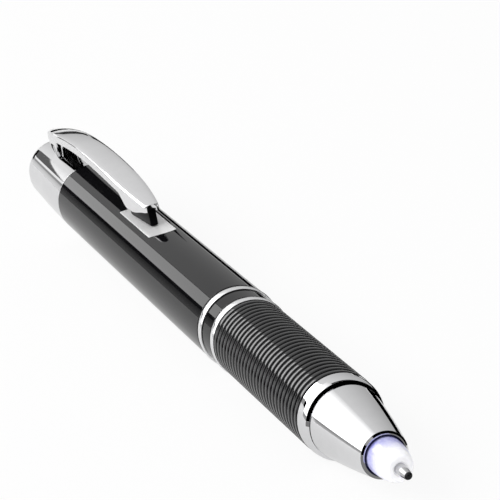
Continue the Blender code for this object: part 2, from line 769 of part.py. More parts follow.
for old in list(bpy.data.objects):
    bpy.data.objects.remove(old)
parts = collection("light_up_pen")
cutters = collection("cutters")
make_writing_point()
make_nose()
make_grip()
make_twist_mechanism()
make_barrel()
make_power()
make_cap()
make_clip()
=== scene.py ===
"""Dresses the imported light-up pen with detailed pieces, finishes, studio light and a camera.

Stations run in millimetres from the writing tip toward the cap. Radii and heights are in millimetres
from the pen's axis. The studio's sizes are in metres.
"""
import logging
import math
from dataclasses import dataclass, field
from enum import Enum
from typing import Callable, Sequence

import bmesh
import bpy
from mathutils import Matrix, Vector


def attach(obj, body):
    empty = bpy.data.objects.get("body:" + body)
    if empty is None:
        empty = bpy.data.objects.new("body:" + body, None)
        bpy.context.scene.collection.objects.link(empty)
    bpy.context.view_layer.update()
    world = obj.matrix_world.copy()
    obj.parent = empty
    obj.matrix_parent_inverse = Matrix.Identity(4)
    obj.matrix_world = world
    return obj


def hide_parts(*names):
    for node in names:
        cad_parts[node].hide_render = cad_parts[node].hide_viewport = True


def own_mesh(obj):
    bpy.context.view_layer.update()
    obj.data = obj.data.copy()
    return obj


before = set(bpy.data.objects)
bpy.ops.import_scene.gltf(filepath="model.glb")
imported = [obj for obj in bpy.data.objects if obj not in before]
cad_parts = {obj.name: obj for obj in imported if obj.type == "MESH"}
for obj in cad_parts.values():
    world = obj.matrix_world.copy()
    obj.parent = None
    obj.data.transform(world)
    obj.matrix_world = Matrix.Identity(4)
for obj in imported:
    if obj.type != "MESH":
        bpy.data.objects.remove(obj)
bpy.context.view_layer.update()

Piece = bpy.types.Object
Socket = bpy.types.NodeSocket
Point = tuple[float, float]
Corner = tuple[float, ...]
Place = tuple[float, float, float]
Colour = tuple[float, float, float]

LOG = logging.getLogger("light_up_pen")
MM = 0.001
TIP_X = 73.85
AXIS_HEIGHT = 5.47278
MERGE = 0.0000008
SMOOTH_ANGLE = math.radians(32.0)
TURN_STEPS = 120
FILLET_STEPS = 5
FILLET_GUARD = 0.03
BEVEL_SEGMENTS = 2
RING_LEAN = math.radians(20.0)
RING_STEPS = 12
MARK_SPAN = (0.36, 0.64)
MARK_BROAD_SHARE = 0.6
MARK_FINE_SHARE = 0.4
MARK_FINE_TIMES = 7.0
ALONG = (1.0, 0.0, 0.0)
UNIT = (0.0, 1.0)
FALLING = (1.0, 0.0)
WHITE = (1.0, 1.0, 1.0, 1.0)


class Body(Enum):
    """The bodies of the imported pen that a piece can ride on."""

    UPPER = "upper"
    LOWER = "lower"
    REFILL = "refill"
    CLIP = "clip"
    BUTTON = "button"


class Slot(Enum):
    """The record's material slots, which each new piece is listed with."""

    CHROME = "chrome"
    LACQUER = "black_lacquer"
    RUBBER = "black_rubber"
    FROSTED = "frosted_plastic"
    STEEL = "steel"
    CARBIDE = "carbide"


def spot(station: float, height: float = 0.0, side: float = 0.0) -> Vector:
    """Finds a point of the model.

    Args:
        station: Millimetres from the writing tip.
        height: Millimetres above the axis.
        side: Millimetres from the axis toward +Y.

    Returns:
        The point in metres.
    """
    return Vector(((TIP_X - station) * MM, side * MM, (AXIS_HEIGHT + height) * MM))


def ease(value: float, span: Point) -> float:
    """Rises smoothly over a span, with level ends.

    Args:
        value: How far along it is.
        span: Where the rise starts and where it ends.

    Returns:
        A share from 0 to 1.
    """
    share = min(1.0, max(0.0, (value - span[0]) / (span[1] - span[0])))
    return share * share * (3.0 - 2.0 * share)


def quarter(front: Point, back: Point, steps: int, start: float = 0.0) -> list[Point]:
    """Draws a quarter of an ellipse, steep at its front and level at its back.

    Args:
        front: Station and radius of the quarter's front.
        back: Station and radius of its back.
        steps: Parts that the curve is drawn in.
        start: Degrees that are left out at the front.

    Returns:
        The curve's points, front to back.
    """
    first = math.radians(start)
    angles = [first + (math.pi / 2.0 - first) * step / steps for step in range(steps + 1)]
    reach, rise = back[0] - front[0], back[1] - front[1]
    return [(front[0] + reach * (1.0 - math.cos(angle)), front[1] + rise * math.sin(angle)) for angle in angles]


def rounded(corners: Sequence[Corner]) -> list[Point]:
    """Rounds the corners of a closed outline.

    A guard point stands close beside each arc, so that smooth shading keeps the straight runs straight.

    Args:
        corners: Station and radius of each corner, in order, and its fillet where it has one.

    Returns:
        The outline's points, with an arc in place of each corner that has a fillet.
    """
    points: list[Point] = []
    for index, (station, radius, *fillet) in enumerate(corners):
        if not fillet:
            points.append((station, radius))
            continue
        here = Vector((station, radius))
        before = Vector(corners[index - 1][:2]) - here
        after = Vector(corners[(index + 1) % len(corners)][:2]) - here
        half = before.angle(after) / 2.0
        reach = fillet[0] / math.tan(half)
        guard = reach + FILLET_GUARD
        roomy = (before.length > 2.0 * guard, after.length > 2.0 * guard)
        before.normalize()
        after.normalize()
        centre = here + (before + after).normalized() * fillet[0] / math.sin(half)
        start = here + before * reach - centre
        swing = start.angle_signed(here + after * reach - centre)
        if roomy[0]:
            points.append(tuple(here + before * guard))
        for step in range(FILLET_STEPS + 1):
            arm = start.copy()
            arm.rotate(Matrix.Rotation(-swing * step / FILLET_STEPS, 2))
            points.append((centre.x + arm.x, centre.y + arm.y))
        if roomy[1]:
            points.append(tuple(here + after * guard))
    return points


class Bench:
    """Models meshes with Blender's own operators."""

    @staticmethod
    def clear() -> None:
        """Leaves edit mode and deselects every object."""
        if bpy.context.object and bpy.context.object.mode == "EDIT":
            bpy.ops.object.mode_set(mode="OBJECT")
        bpy.ops.object.select_all(action="DESELECT")

    @staticmethod
    def edit() -> None:
        """Enters edit mode on the active object, with vertices as what is selected."""
        bpy.ops.object.mode_set(mode="EDIT")
        bpy.ops.mesh.select_mode(type="VERT")

    @staticmethod
    def fresh(name: str) -> Piece:
        """Names the primitive that was just added and opens it in edit mode, selected all over.

        Args:
            name: Name of the new object and its mesh.

        Returns:
            The new object.
        """
        made = bpy.context.object
        made.name = name
        made.data.name = name
        Bench.edit()
        bpy.ops.mesh.select_all(action="SELECT")
        return made

    @staticmethod
    def pick(test: Callable[[bmesh.types.BMVert], bool]) -> None:
        """Selects the vertices of the mesh in edit mode that pass a test.

        Args:
            test: Tells whether a vertex is selected.
        """
        shape = bmesh.from_edit_mesh(bpy.context.object.data)
        shape.verts.index_update()
        for vertex in shape.verts:
            vertex.select_set(test(vertex))
        shape.select_flush_mode()
        bmesh.update_edit_mesh(bpy.context.object.data)

    @staticmethod
    def chosen() -> set[int]:
        """Looks up what is selected in the mesh in edit mode.

        Returns:
            The indexes of the selected vertices.
        """
        shape = bmesh.from_edit_mesh(bpy.context.object.data)
        shape.verts.index_update()
        return {vertex.index for vertex in shape.verts if vertex.select}

    @staticmethod
    def trace(name: str, path: Sequence[Vector], closed: bool = True) -> Piece:
        """Draws a line of edges from point to point, and stays in edit mode.

        Args:
            name: Name of the new object.
            path: The points in metres.
            closed: Whether the line ends where it starts.

        Returns:
            The new object, which is active.
        """
        Bench.clear()
        bpy.ops.mesh.primitive_plane_add(size=MM)
        made = Bench.fresh(name)
        bpy.ops.mesh.merge(type="CENTER")
        bpy.ops.transform.translate(value=path[0])
        points = list(path) + [path[0]] if closed else list(path)
        for here, after in zip(points, points[1:]):
            bpy.ops.mesh.extrude_vertices_move(TRANSFORM_OT_translate={"value": after - here})
        bpy.ops.mesh.select_all(action="SELECT")
        bpy.ops.mesh.remove_doubles(threshold=MERGE)
        return made

    @staticmethod
    def finish(made: Piece) -> Piece:
        """Merges doubles, turns the faces outward, leaves edit mode and smooths the shading.

        Args:
            made: The active object, in edit mode.

        Returns:
            The same object.
        """
        bpy.ops.mesh.select_all(action="SELECT")
        bpy.ops.mesh.remove_doubles(threshold=MERGE)
        bpy.ops.mesh.normals_make_consistent(inside=False)
        bpy.ops.object.mode_set(mode="OBJECT")
        bpy.ops.object.shade_smooth_by_angle(angle=SMOOTH_ANGLE)
        return made

    @staticmethod
    def turned(name: str, outline: Sequence[Point], steps: int = TURN_STEPS) -> Piece:
        """Turns a closed outline round the pen's axis.

        Args:
            name: Name of the new object.
            outline: Station and radius of each point, in order.
            steps: Facets round the axis.

        Returns:
            The turned object.
        """
        made = Bench.trace(name, [spot(station, radius) for station, radius in outline])
        bpy.ops.mesh.spin(steps=steps, angle=math.tau, center=spot(0.0), axis=ALONG)
        return Bench.finish(made)

    @staticmethod
    def trim_ring(name: str, front: float, back: float, crown: float, bore: float) -> Piece:
        """Turns a trim ring with a shallow round outer face.

        Args:
            name: Name of the new object.
            front: Station of its front edge.
            back: Station of its back edge.
            crown: Radius at the middle of its face.
            bore: Radius of its hole.

        Returns:
            The ring.
        """
        middle = (front + back) / 2.0
        curve = (back - front) / 2.0 / math.sin(RING_LEAN)
        outline = [(front, bore)]
        for step in range(RING_STEPS + 1):
            angle = RING_LEAN * (2.0 * step / RING_STEPS - 1.0)
            outline.append((middle + curve * math.sin(angle), crown - curve * (1.0 - math.cos(angle))))
        return Bench.turned(name, outline + [(back, bore)])

    @staticmethod
    def block(name: str, low: Vector, high: Vector, bevel: float = 0.0) -> Piece:
        """Makes a block between two corners.

        Args:
            name: Name of the new object.
            low: The lowest corner in metres.
            high: The highest corner in metres.
            bevel: Width of its bevelled edges in millimetres.

        Returns:
            The block.
        """
        Bench.clear()
        bpy.ops.mesh.primitive_cube_add(size=1.0)
        made = Bench.fresh(name)
        bpy.ops.transform.resize(value=high - low)
        bpy.ops.transform.translate(value=(low + high) / 2.0)
        if bevel > 0.0:
            bpy.ops.mesh.bevel(offset=bevel * MM, segments=BEVEL_SEGMENTS, affect="EDGES")
        return Bench.finish(made)

    @staticmethod
    def cut(made: Piece, cutter: Piece) -> None:
        """Cuts one object out of another and removes the cutter.

        Args:
            made: The object that is cut.
            cutter: The object that is taken away.
        """
        step = made.modifiers.new("cut", "BOOLEAN")
        step.operation = "DIFFERENCE"
        step.solver = "EXACT"
        step.object = cutter
        Bench.apply(made)
        bpy.data.objects.remove(cutter)

    @staticmethod
    def apply(made: Piece) -> None:
        """Applies every modifier of an object, in order, and smooths its shading.

        Args:
            made: The object that is finished.
        """
        Bench.clear()
        bpy.context.view_layer.objects.active = made
        made.select_set(True)
        for step in [modifier.name for modifier in made.modifiers]:
            bpy.ops.object.modifier_apply(modifier=step)
        bpy.ops.object.shade_smooth_by_angle(angle=SMOOTH_ANGLE)

    @staticmethod
    def join(made: Piece, extra: Piece) -> None:
        """Joins one object's mesh into another's.

        Args:
            made: The object that stays.
            extra: The object that is taken up.
        """
        Bench.clear()
        extra.select_set(True)
        made.select_set(True)
        bpy.context.view_layer.objects.active = made
        bpy.ops.object.join()


class Effect(Enum):
    """Surface effects that several finishes share, each a node group with one output."""

    MARKS = "handling_marks"
    RELIEF = "surface_relief"
    DEPTH = "depth_in_grooves"

    def group(self) -> bpy.types.NodeTree:
        """Looks up the effect's node group, and builds it the first time.

        Returns:
            The node group.
        """
        if self.value in bpy.data.node_groups:
            return bpy.data.node_groups[self.value]
        made = bpy.data.node_groups.new(self.value, "ShaderNodeTree")
        builders = {Effect.MARKS: build_marks, Effect.RELIEF: build_relief, Effect.DEPTH: build_depth}
        builders[self](made)
        return made


class Tree:
    """Adds and wires the nodes of one shader tree."""

    def __init__(self, tree: bpy.types.NodeTree) -> None:
        """Takes the tree that the nodes go into."""
        self.tree = tree

    def add(self, kind: str, feeds: dict[str | int, object], **settings: object) -> bpy.types.Node:
        """Adds a node, sets its settings and feeds its inputs.

        Args:
            kind: Blender's name of the node type.
            feeds: For each input, a value or the socket that is wired to it.
            settings: The node's own settings.

        Returns:
            The new node.
        """
        node = self.tree.nodes.new(kind)
        for name, value in settings.items():
            setattr(node, name, value)
        for name, value in feeds.items():
            if isinstance(value, Socket):
                self.tree.links.new(value, node.inputs[name])
            else:
                node.inputs[name].default_value = value
        return node

    def math(self, operation: str, first: object, second: object = 0.0) -> Socket:
        """Adds a Math node and returns its output."""
        return self.add("ShaderNodeMath", {0: first, 1: second}, operation=operation).outputs[0]

    def axes(self, place: Socket) -> tuple[Socket, Socket, Socket]:
        """Splits a place and returns its X, Y and Z."""
        return tuple(self.add("ShaderNodeSeparateXYZ", {0: place}).outputs)

    def effect(self, effect: Effect, feeds: dict[str | int, object]) -> Socket:
        """Places a shared effect with its own values and returns its output."""
        return self.add("ShaderNodeGroup", feeds, node_tree=effect.group()).outputs[0]

    def glow(self, strength: object) -> Socket:
        """Adds a white glow and returns its shader."""
        return self.add("ShaderNodeEmission", {"Color": WHITE, "Strength": strength}).outputs[0]

    def span(self, value: Socket, source: tuple[object, object], target: Point) -> Socket:
        """Maps a value from one span to another.

        Args:
            value: The socket that is mapped.
            source: The two values, or sockets, that it comes in between.
            target: The values that these become.

        Returns:
            The mapped value.
        """
        feeds = {
            "Value": value, "From Min": source[0], "From Max": source[1], "To Min": target[0], "To Max": target[1]}
        return self.add("ShaderNodeMapRange", feeds, clamp=True).outputs[0]

    def blend(self, share: Socket, first: Socket | Colour, second: Colour) -> Socket:
        """Blends two colours by a share.

        Args:
            share: The mask of the second colour.
            first: The colour, or its socket, where the mask is 0.
            second: The colour where the mask is 1.

        Returns:
            The blended colour.
        """
        ground = first if isinstance(first, Socket) else (*first, 1.0)
        feeds = {0: share, 6: ground, 7: (*second, 1.0)}
        return self.add("ShaderNodeMix", feeds, data_type="RGBA").outputs[2]


def bare_material(name: str) -> tuple[bpy.types.Material, Tree]:
    """Makes a material with no nodes in it.

    Args:
        name: Name of the new material.

    Returns:
        The material and its empty tree.
    """
    made = bpy.data.materials.new(name)
    made.use_nodes = True
    made.node_tree.nodes.clear()
    return made, Tree(made.node_tree)


def sockets(
        made: bpy.types.NodeTree, inputs: dict[str, float | None],
        output: str) -> tuple[Tree, bpy.types.NodeOutputs]:
    """Gives a node group its inputs and its output.

    Args:
        made: The empty group.
        inputs: Starting value of each number input, or None for a vector.
        output: Name of the one output, a number.

    Returns:
        The group's tree, and its inputs as sockets to wire from.
    """
    for name, value in inputs.items():
        kind = "NodeSocketVector" if value is None else "NodeSocketFloat"
        socket = made.interface.new_socket(name=name, in_out="INPUT", socket_type=kind)
        if value is not None:
            socket.default_value = value
    made.interface.new_socket(name=output, in_out="OUTPUT", socket_type="NodeSocketFloat")
    return Tree(made), made.nodes.new("NodeGroupInput").outputs


def build_marks(made: bpy.types.NodeTree) -> None:
    """Builds the film of handling: broad smudges with a finer mottle in them.

    Args:
        made: The empty group.
    """
    tree, given = sockets(made, {"Vector": None, "Scale": 60.0}, "Mask")
    place, scale = given["Vector"], given["Scale"]
    fine_scale = tree.math("MULTIPLY", scale, MARK_FINE_TIMES)
    broad = tree.add("ShaderNodeTexNoise", {"Vector": place, "Scale": scale, "Detail": 3.0})
    fine = tree.add("ShaderNodeTexNoise", {"Vector": place, "Scale": fine_scale, "Detail": 4.0, "Roughness": 0.65})
    broad_part = tree.math("MULTIPLY", broad.outputs["Fac"], MARK_BROAD_SHARE)
    fine_part = tree.math("MULTIPLY", fine.outputs["Fac"], MARK_FINE_SHARE)
    mask = tree.span(tree.math("ADD", broad_part, fine_part), MARK_SPAN, UNIT)
    tree.add("NodeGroupOutput", {"Mask": mask})


def build_relief(made: bpy.types.NodeTree) -> None:
    """Builds the fine height of a surface: an even grain, with turning lines round the pen.

    Args:
        made: The empty group.
    """
    inputs = {"Vector": None, "Grain": 3000.0, "Lines": 9000.0, "Line Share": 0.0}
    tree, given = sockets(made, inputs, "Height")
    place, share = given["Vector"], given["Line Share"]
    grain = tree.add("ShaderNodeTexNoise", {"Vector": place, "Scale": given["Grain"], "Detail": 2.0})
    along = tree.math("MULTIPLY", tree.axes(place)[0], given["Lines"])
    lines = tree.add("ShaderNodeTexNoise", {"W": along, "Scale": 1.0, "Detail": 3.0}, noise_dimensions="1D")
    lined = tree.math("MULTIPLY", lines.outputs["Fac"], share)
    plain = tree.math("MULTIPLY", grain.outputs["Fac"], tree.math("SUBTRACT", 1.0, share))
    tree.add("NodeGroupOutput", {"Height": tree.math("ADD", lined, plain)})


def build_depth(made: bpy.types.NodeTree) -> None:
    """Builds the mask of how deep a place lies below the crests, by its distance from the axis.

    Args:
        made: The empty group.
    """
    tree, given = sockets(made, {"Vector": None, "Crest": 0.005, "Groove": 0.0047}, "Mask")
    _, side, up = tree.axes(given["Vector"])
    height = tree.math("SUBTRACT", up, AXIS_HEIGHT * MM)
    squares = tree.math("ADD", tree.math("POWER", side, 2.0), tree.math("POWER", height, 2.0))
    mask = tree.span(tree.math("SQRT", squares), (given["Crest"], given["Groove"]), UNIT)
    tree.add("NodeGroupOutput", {"Mask": mask})


@dataclass(frozen=True)
class Draft:
    """A material in the making: its tree, the place on the piece and the mask of handling marks."""

    tree: Tree
    place: Socket
    mask: Socket


@dataclass(frozen=True)
class Finish:
    """A surface with handling marks in its colour and gloss, and a fine relief.

    The gloss is its roughness where it is clean and where it is marked. The relief is in millimetres.
    """

    name: str
    colour: Colour
    second: Colour
    gloss: Point
    metallic: float = 0.0
    marks: float = 60.0
    grain: float = 3000.0
    lines: float = 9000.0
    line_share: float = 0.0
    relief: float = 0.0005
    specular: float = 0.5
    subsurface: float = 0.0

    def material(self) -> bpy.types.Material:
        """Looks up the finish's material, and builds it the first time.

        Returns:
            The material.
        """
        if self.name in bpy.data.materials:
            return bpy.data.materials[self.name]
        made, tree = bare_material(self.name)
        place = tree.add("ShaderNodeTexCoord", {}).outputs["Object"]
        draft = Draft(tree, place, tree.effect(Effect.MARKS, {"Vector": place, "Scale": self.marks}))
        height = tree.effect(Effect.RELIEF, {
            "Vector": place, "Grain": self.grain, "Lines": self.lines, "Line Share": self.line_share})
        bump = tree.add("ShaderNodeBump", {"Height": height, "Strength": 1.0, "Distance": self.relief * MM})
        shader = tree.add("ShaderNodeBsdfPrincipled", {
            "Base Color": self.base(draft), "Roughness": self.rough(draft), "Normal": bump.outputs["Normal"],
            "Metallic": self.metallic, "Specular IOR Level": self.specular,
            "Subsurface Weight": self.subsurface})
        self.extra(draft, shader)
        tree.add("ShaderNodeOutputMaterial", {"Surface": shader.outputs[0]})
        return made

    def cover(self, piece: Piece) -> None:
        """Gives a piece this finish and no other."""
        piece.data.materials.clear()
        piece.data.materials.append(self.material())

    def base(self, draft: Draft) -> Socket:
        """Returns the colour: clean to marked, by the mask of handling marks."""
        return draft.tree.blend(draft.mask, self.colour, self.second)

    def rough(self, draft: Draft) -> Socket:
        """Returns the roughness: clean to marked, by the mask of handling marks."""
        return draft.tree.span(draft.mask, UNIT, self.gloss)

    def extra(self, draft: Draft, shader: bpy.types.Node) -> None:
        """Adds what only this finish has; a plain finish adds nothing."""


@dataclass(frozen=True)
class GripFinish(Finish):
    """Moulded grip: crests rubbed glossy, grooves dull with a little dust of the second colour."""

    crest: float = 5.19
    groove: float = 4.87
    groove_power: float = 3.0
    groove_roughness: float = 0.55

    def depth(self, draft: Draft) -> Socket:
        """Returns the mask of the grooves."""
        feeds = {"Vector": draft.place, "Crest": self.crest * MM, "Groove": self.groove * MM}
        return draft.tree.effect(Effect.DEPTH, feeds)

    def base(self, draft: Draft) -> Socket:
        """Returns the colour, with dust where a groove and a mark meet."""
        dusty = draft.tree.math("MULTIPLY", self.depth(draft), draft.mask)
        return draft.tree.blend(dusty, self.colour, self.second)

    def rough(self, draft: Draft) -> Socket:
        """Makes the grooves dull.

        Args:
            draft: The material in the making.

        Returns:
            The roughness.
        """
        tree = draft.tree
        deep = tree.math("POWER", self.depth(draft), self.groove_power)
        return tree.math("MAXIMUM", super().rough(draft), tree.math("MULTIPLY", deep, self.groove_roughness))


@dataclass(frozen=True)
class LensFinish(Finish):
    """Milky lens: white at its nose, with painted lavender shade toward the rim and its top, painted shade in the
    gap at the rim, and a painted glow.
    """

    # Painted shade in the gap at the rim, and the stations it fades over.
    shade: Colour = (0.02, 0.02, 0.06)
    shade_span: Point = (7.0, 6.6)
    # Painted lavender shade toward the rim: the stations it fades over, the heights it grows over, and its share
    # on the low side.
    lavender_shade_span: Point = (6.0, 3.3)
    lavender_shade_heights: Point = (-2.2, 1.6)
    low_lavender_shade_share: float = 0.85
    mottle: float = 0.55
    # Strength of the painted glow.
    glow: float = 0.36
    scatter: Place = (0.0008, 0.0008, 0.001)

    def base(self, draft: Draft) -> Socket:
        """Colours the lens: painted lavender shade toward the rim and its top, and painted shade in the gap at the
        rim.

        Args:
            draft: The material in the making.

        Returns:
            The colour.
        """
        tree = draft.tree
        along, _, up = tree.axes(draft.place)
        # Painted lavender shade, deepest at the rim and on the top.
        lavender_shade = tree.span(along, tuple(spot(station).x for station in self.lavender_shade_span), FALLING)
        heights = tuple(spot(0.0, height).z for height in self.lavender_shade_heights)
        lavender_shade = tree.math("MULTIPLY", lavender_shade, tree.span(up, heights, (self.low_lavender_shade_share, 1.0)))
        mottled = tree.math("MULTIPLY", lavender_shade, tree.span(draft.mask, UNIT, (self.mottle, 1.0)))
        milky = tree.blend(mottled, self.colour, self.second)
        # Painted shade in the gap at the rim.
        rim = tree.span(along, tuple(spot(station).x for station in self.shade_span), FALLING)
        return tree.blend(rim, milky, self.shade)

    def extra(self, draft: Draft, shader: bpy.types.Node) -> None:
        """Adds a painted glow, in the lens's own colour, that lights the milky plastic though it holds no lamp.

        Args:
            draft: The material in the making.
            shader: Its surface shader.
        """
        shader.inputs["Subsurface Radius"].default_value = self.scatter
        colour = shader.inputs["Base Color"].links[0].from_socket
        # Painted glow, tinted by the lens's painted colour.
        draft.tree.tree.links.new(colour, shader.inputs["Emission Color"])
        shader.inputs["Emission Strength"].default_value = self.glow


@dataclass(frozen=True)
class ClipFinish(Finish):
    """Plated sheet: bright outside, with painted shade, dark and dull, on its faces in the channel and under it.
    """

    # Face attribute that masks the painted shade, then the painted shade's colour and roughness.
    inside: str = "inside"
    shade_colour: Colour = (0.006, 0.006, 0.0065)
    shade_roughness: float = 0.6

    def depth(self, draft: Draft) -> Socket:
        """Returns the mask of the painted shade: the faces inside the channel and those that look down."""
        return draft.tree.add("ShaderNodeAttribute", {}, attribute_name=self.inside).outputs["Fac"]

    def base(self, draft: Draft) -> Socket:
        """Returns the colour: plated outside, painted shade inside."""
        return draft.tree.blend(self.depth(draft), super().base(draft), self.shade_colour)

    def rough(self, draft: Draft) -> Socket:
        """Returns the roughness: polished outside, dull inside."""
        dull = draft.tree.math("MULTIPLY", self.depth(draft), self.shade_roughness)
        return draft.tree.math("MAXIMUM", super().rough(draft), dull)


@dataclass(frozen=True)
class BoardFinish(Finish):
    """Circuit board: solder mask over copper tracks, which show in the second colour."""

    track_scale: float = 900.0
    track_edges: Point = (0.05, 0.09)

    def base(self, draft: Draft) -> Socket:
        """Draws the tracks.

        Args:
            draft: The material in the making.

        Returns:
            The colour.
        """
        feeds = {"Vector": draft.place, "Scale": self.track_scale}
        tracks = draft.tree.add("ShaderNodeTexVoronoi", feeds, feature="DISTANCE_TO_EDGE")
        share = draft.tree.span(tracks.outputs["Distance"], self.track_edges, FALLING)
        return draft.tree.blend(share, self.colour, self.second)


CHROME = Finish(
    "polished_chrome", (0.84, 0.84, 0.85), (0.78, 0.78, 0.79), (0.025, 0.06), metallic=1.0, marks=70.0,
    grain=900.0, relief=0.00012)
# A lighter copy of the chrome: painted light that brightens the clip.
LIT_CLIP_CHROME = ClipFinish(
    "polished_lit_clip_chrome", (0.93, 0.93, 0.94), (0.88, 0.88, 0.89), (0.025, 0.06), metallic=1.0, marks=70.0,
    grain=900.0, relief=0.00012)
RING_CHROME = Finish(
    "satin_ring_chrome", (0.96, 0.96, 0.97), (0.90, 0.90, 0.91), (0.15, 0.22), metallic=1.0, marks=120.0,
    line_share=0.6)
PLATE_SATIN = Finish(
    "satin_plate", (0.98, 0.98, 0.98), (0.96, 0.96, 0.965), (0.27, 0.30), metallic=0.25, marks=120.0,
    line_share=0.5, relief=0.0006)
LACQUER = Finish(
    "gloss_black_lacquer", (0.004, 0.004, 0.0045), (0.006, 0.006, 0.007), (0.012, 0.035), marks=55.0,
    grain=500.0, relief=0.00008, specular=0.2)
RUBBER = GripFinish(
    "moulded_grip_rubber", (0.006, 0.006, 0.007), (0.012, 0.012, 0.0125), (0.06, 0.12), marks=90.0,
    grain=6000.0, relief=0.0004)
# The lens's second colour is its painted lavender shade toward the rim.
FROSTED = LensFinish(
    "frosted_lens", (0.92, 0.92, 0.95), (0.24, 0.24, 0.58), (0.10, 0.22), marks=420.0, grain=2500.0,
    relief=0.001, subsurface=0.2)
STEEL = Finish(
    "turned_steel", (0.66, 0.66, 0.67), (0.56, 0.56, 0.57), (0.08, 0.16), metallic=1.0, marks=250.0,
    lines=14000.0, line_share=0.7, relief=0.001)
CARBIDE = Finish(
    "carbide_ball", (0.10, 0.10, 0.105), (0.06, 0.06, 0.065), (0.12, 0.24), metallic=1.0, marks=900.0,
    grain=9000.0, relief=0.001)
BRASS = Finish(
    "turned_brass", (0.76, 0.55, 0.23), (0.58, 0.40, 0.16), (0.20, 0.36), metallic=1.0, marks=120.0,
    line_share=0.8, relief=0.003)
WHITE_PLASTIC = Finish(
    "moulded_white_plastic", (0.78, 0.78, 0.75), (0.70, 0.70, 0.67), (0.38, 0.52), marks=150.0,
    grain=4000.0, relief=0.004)
BLACK_PLASTIC = Finish(
    "moulded_black_plastic", (0.02, 0.02, 0.021), (0.035, 0.035, 0.036), (0.35, 0.5), marks=150.0,
    grain=4000.0, relief=0.004)
BOARD = BoardFinish(
    "green_board", (0.03, 0.22, 0.08), (0.09, 0.40, 0.16), (0.3, 0.45), marks=300.0, grain=5000.0,
    relief=0.004)
RED_LED = Finish(
    "red_light", (0.72, 0.03, 0.03), (0.55, 0.015, 0.015), (0.08, 0.2), marks=700.0, grain=4000.0,
    relief=0.002, subsurface=0.1)


@dataclass
class SubAssembly:
    """A group of pieces that is built and dressed together."""

    pieces: list[Piece] = field(default_factory=list, init=False)

    def fit(self, piece: Piece, body: Body, slot: Slot, finish: Finish, *nodes: str) -> None:
        """Dresses a finished piece and ties it to the frame.

        Args:
            piece: The finished mesh object.
            body: The body that it moves with.
            slot: The record's material slot, which is not used.
            finish: The surface that it gets.
            nodes: The CAD nodes that it stands for.
        """
        finish.cover(piece)
        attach(piece, body.value)
        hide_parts(*nodes)
        self.pieces.append(piece)
        LOG.info("%s: %d faces on %s in %s", piece.name, len(piece.data.polygons), body.value, finish.name)

    def build(self) -> None:
        """Models the pieces and dresses them."""
        raise NotImplementedError


@dataclass
class WritingPoint(SubAssembly):
    """The refill's steel point and the ball in its lip."""

    ball_radius: float = 0.42
    ball_arc_steps: int = 28
    ball_sides: int = 48
    seat: float = 0.94
    socket_radius: float = 0.44
    lip_station: float = 0.30
    lip_front: float = 0.26
    lip_radius: float = 0.47
    lip_round: float = 0.03
    waist_station: float = 1.35
    waist_radius: float = 0.62
    step_station: float = 2.2
    point_radius: float = 0.70
    shoulder_station: float = 7.3
    cone_back: float = 9.9
    back_radius: float = 1.15
    back: float = 11.4
    stub_radius: float = 0.75
    stub_back: float = 14.7
    soft_round: float = 0.2
    edge_round: float = 0.05
    point_sides: int = 64

    def build(self) -> None:
        """Models the ball and the point."""
        ball = []
        for step in range(self.ball_arc_steps + 1):
            angle = math.pi * step / self.ball_arc_steps
            ball.append((self.ball_radius * (1.0 - math.cos(angle)), self.ball_radius * math.sin(angle)))
        made = Bench.turned("ball", ball, self.ball_sides)
        self.fit(made, Body.REFILL, Slot.CARBIDE, CARBIDE, "writing_ball")
        outline = rounded([
            (self.seat, 0.0), (self.seat, self.socket_radius), (self.lip_station, self.socket_radius),
            (self.lip_front, self.lip_radius, self.lip_round),
            (self.waist_station, self.waist_radius, self.soft_round),
            (self.step_station, self.point_radius, self.edge_round),
            (self.shoulder_station, self.point_radius, self.soft_round),
            (self.cone_back, self.back_radius, self.soft_round),
            (self.back, self.back_radius, self.edge_round), (self.back, self.stub_radius),
            (self.stub_back, self.stub_radius, self.edge_round), (self.stub_back, 0.0)])
        made = Bench.turned("point", outline, self.point_sides)
        self.fit(made, Body.REFILL, Slot.STEEL, STEEL, "refill_point")


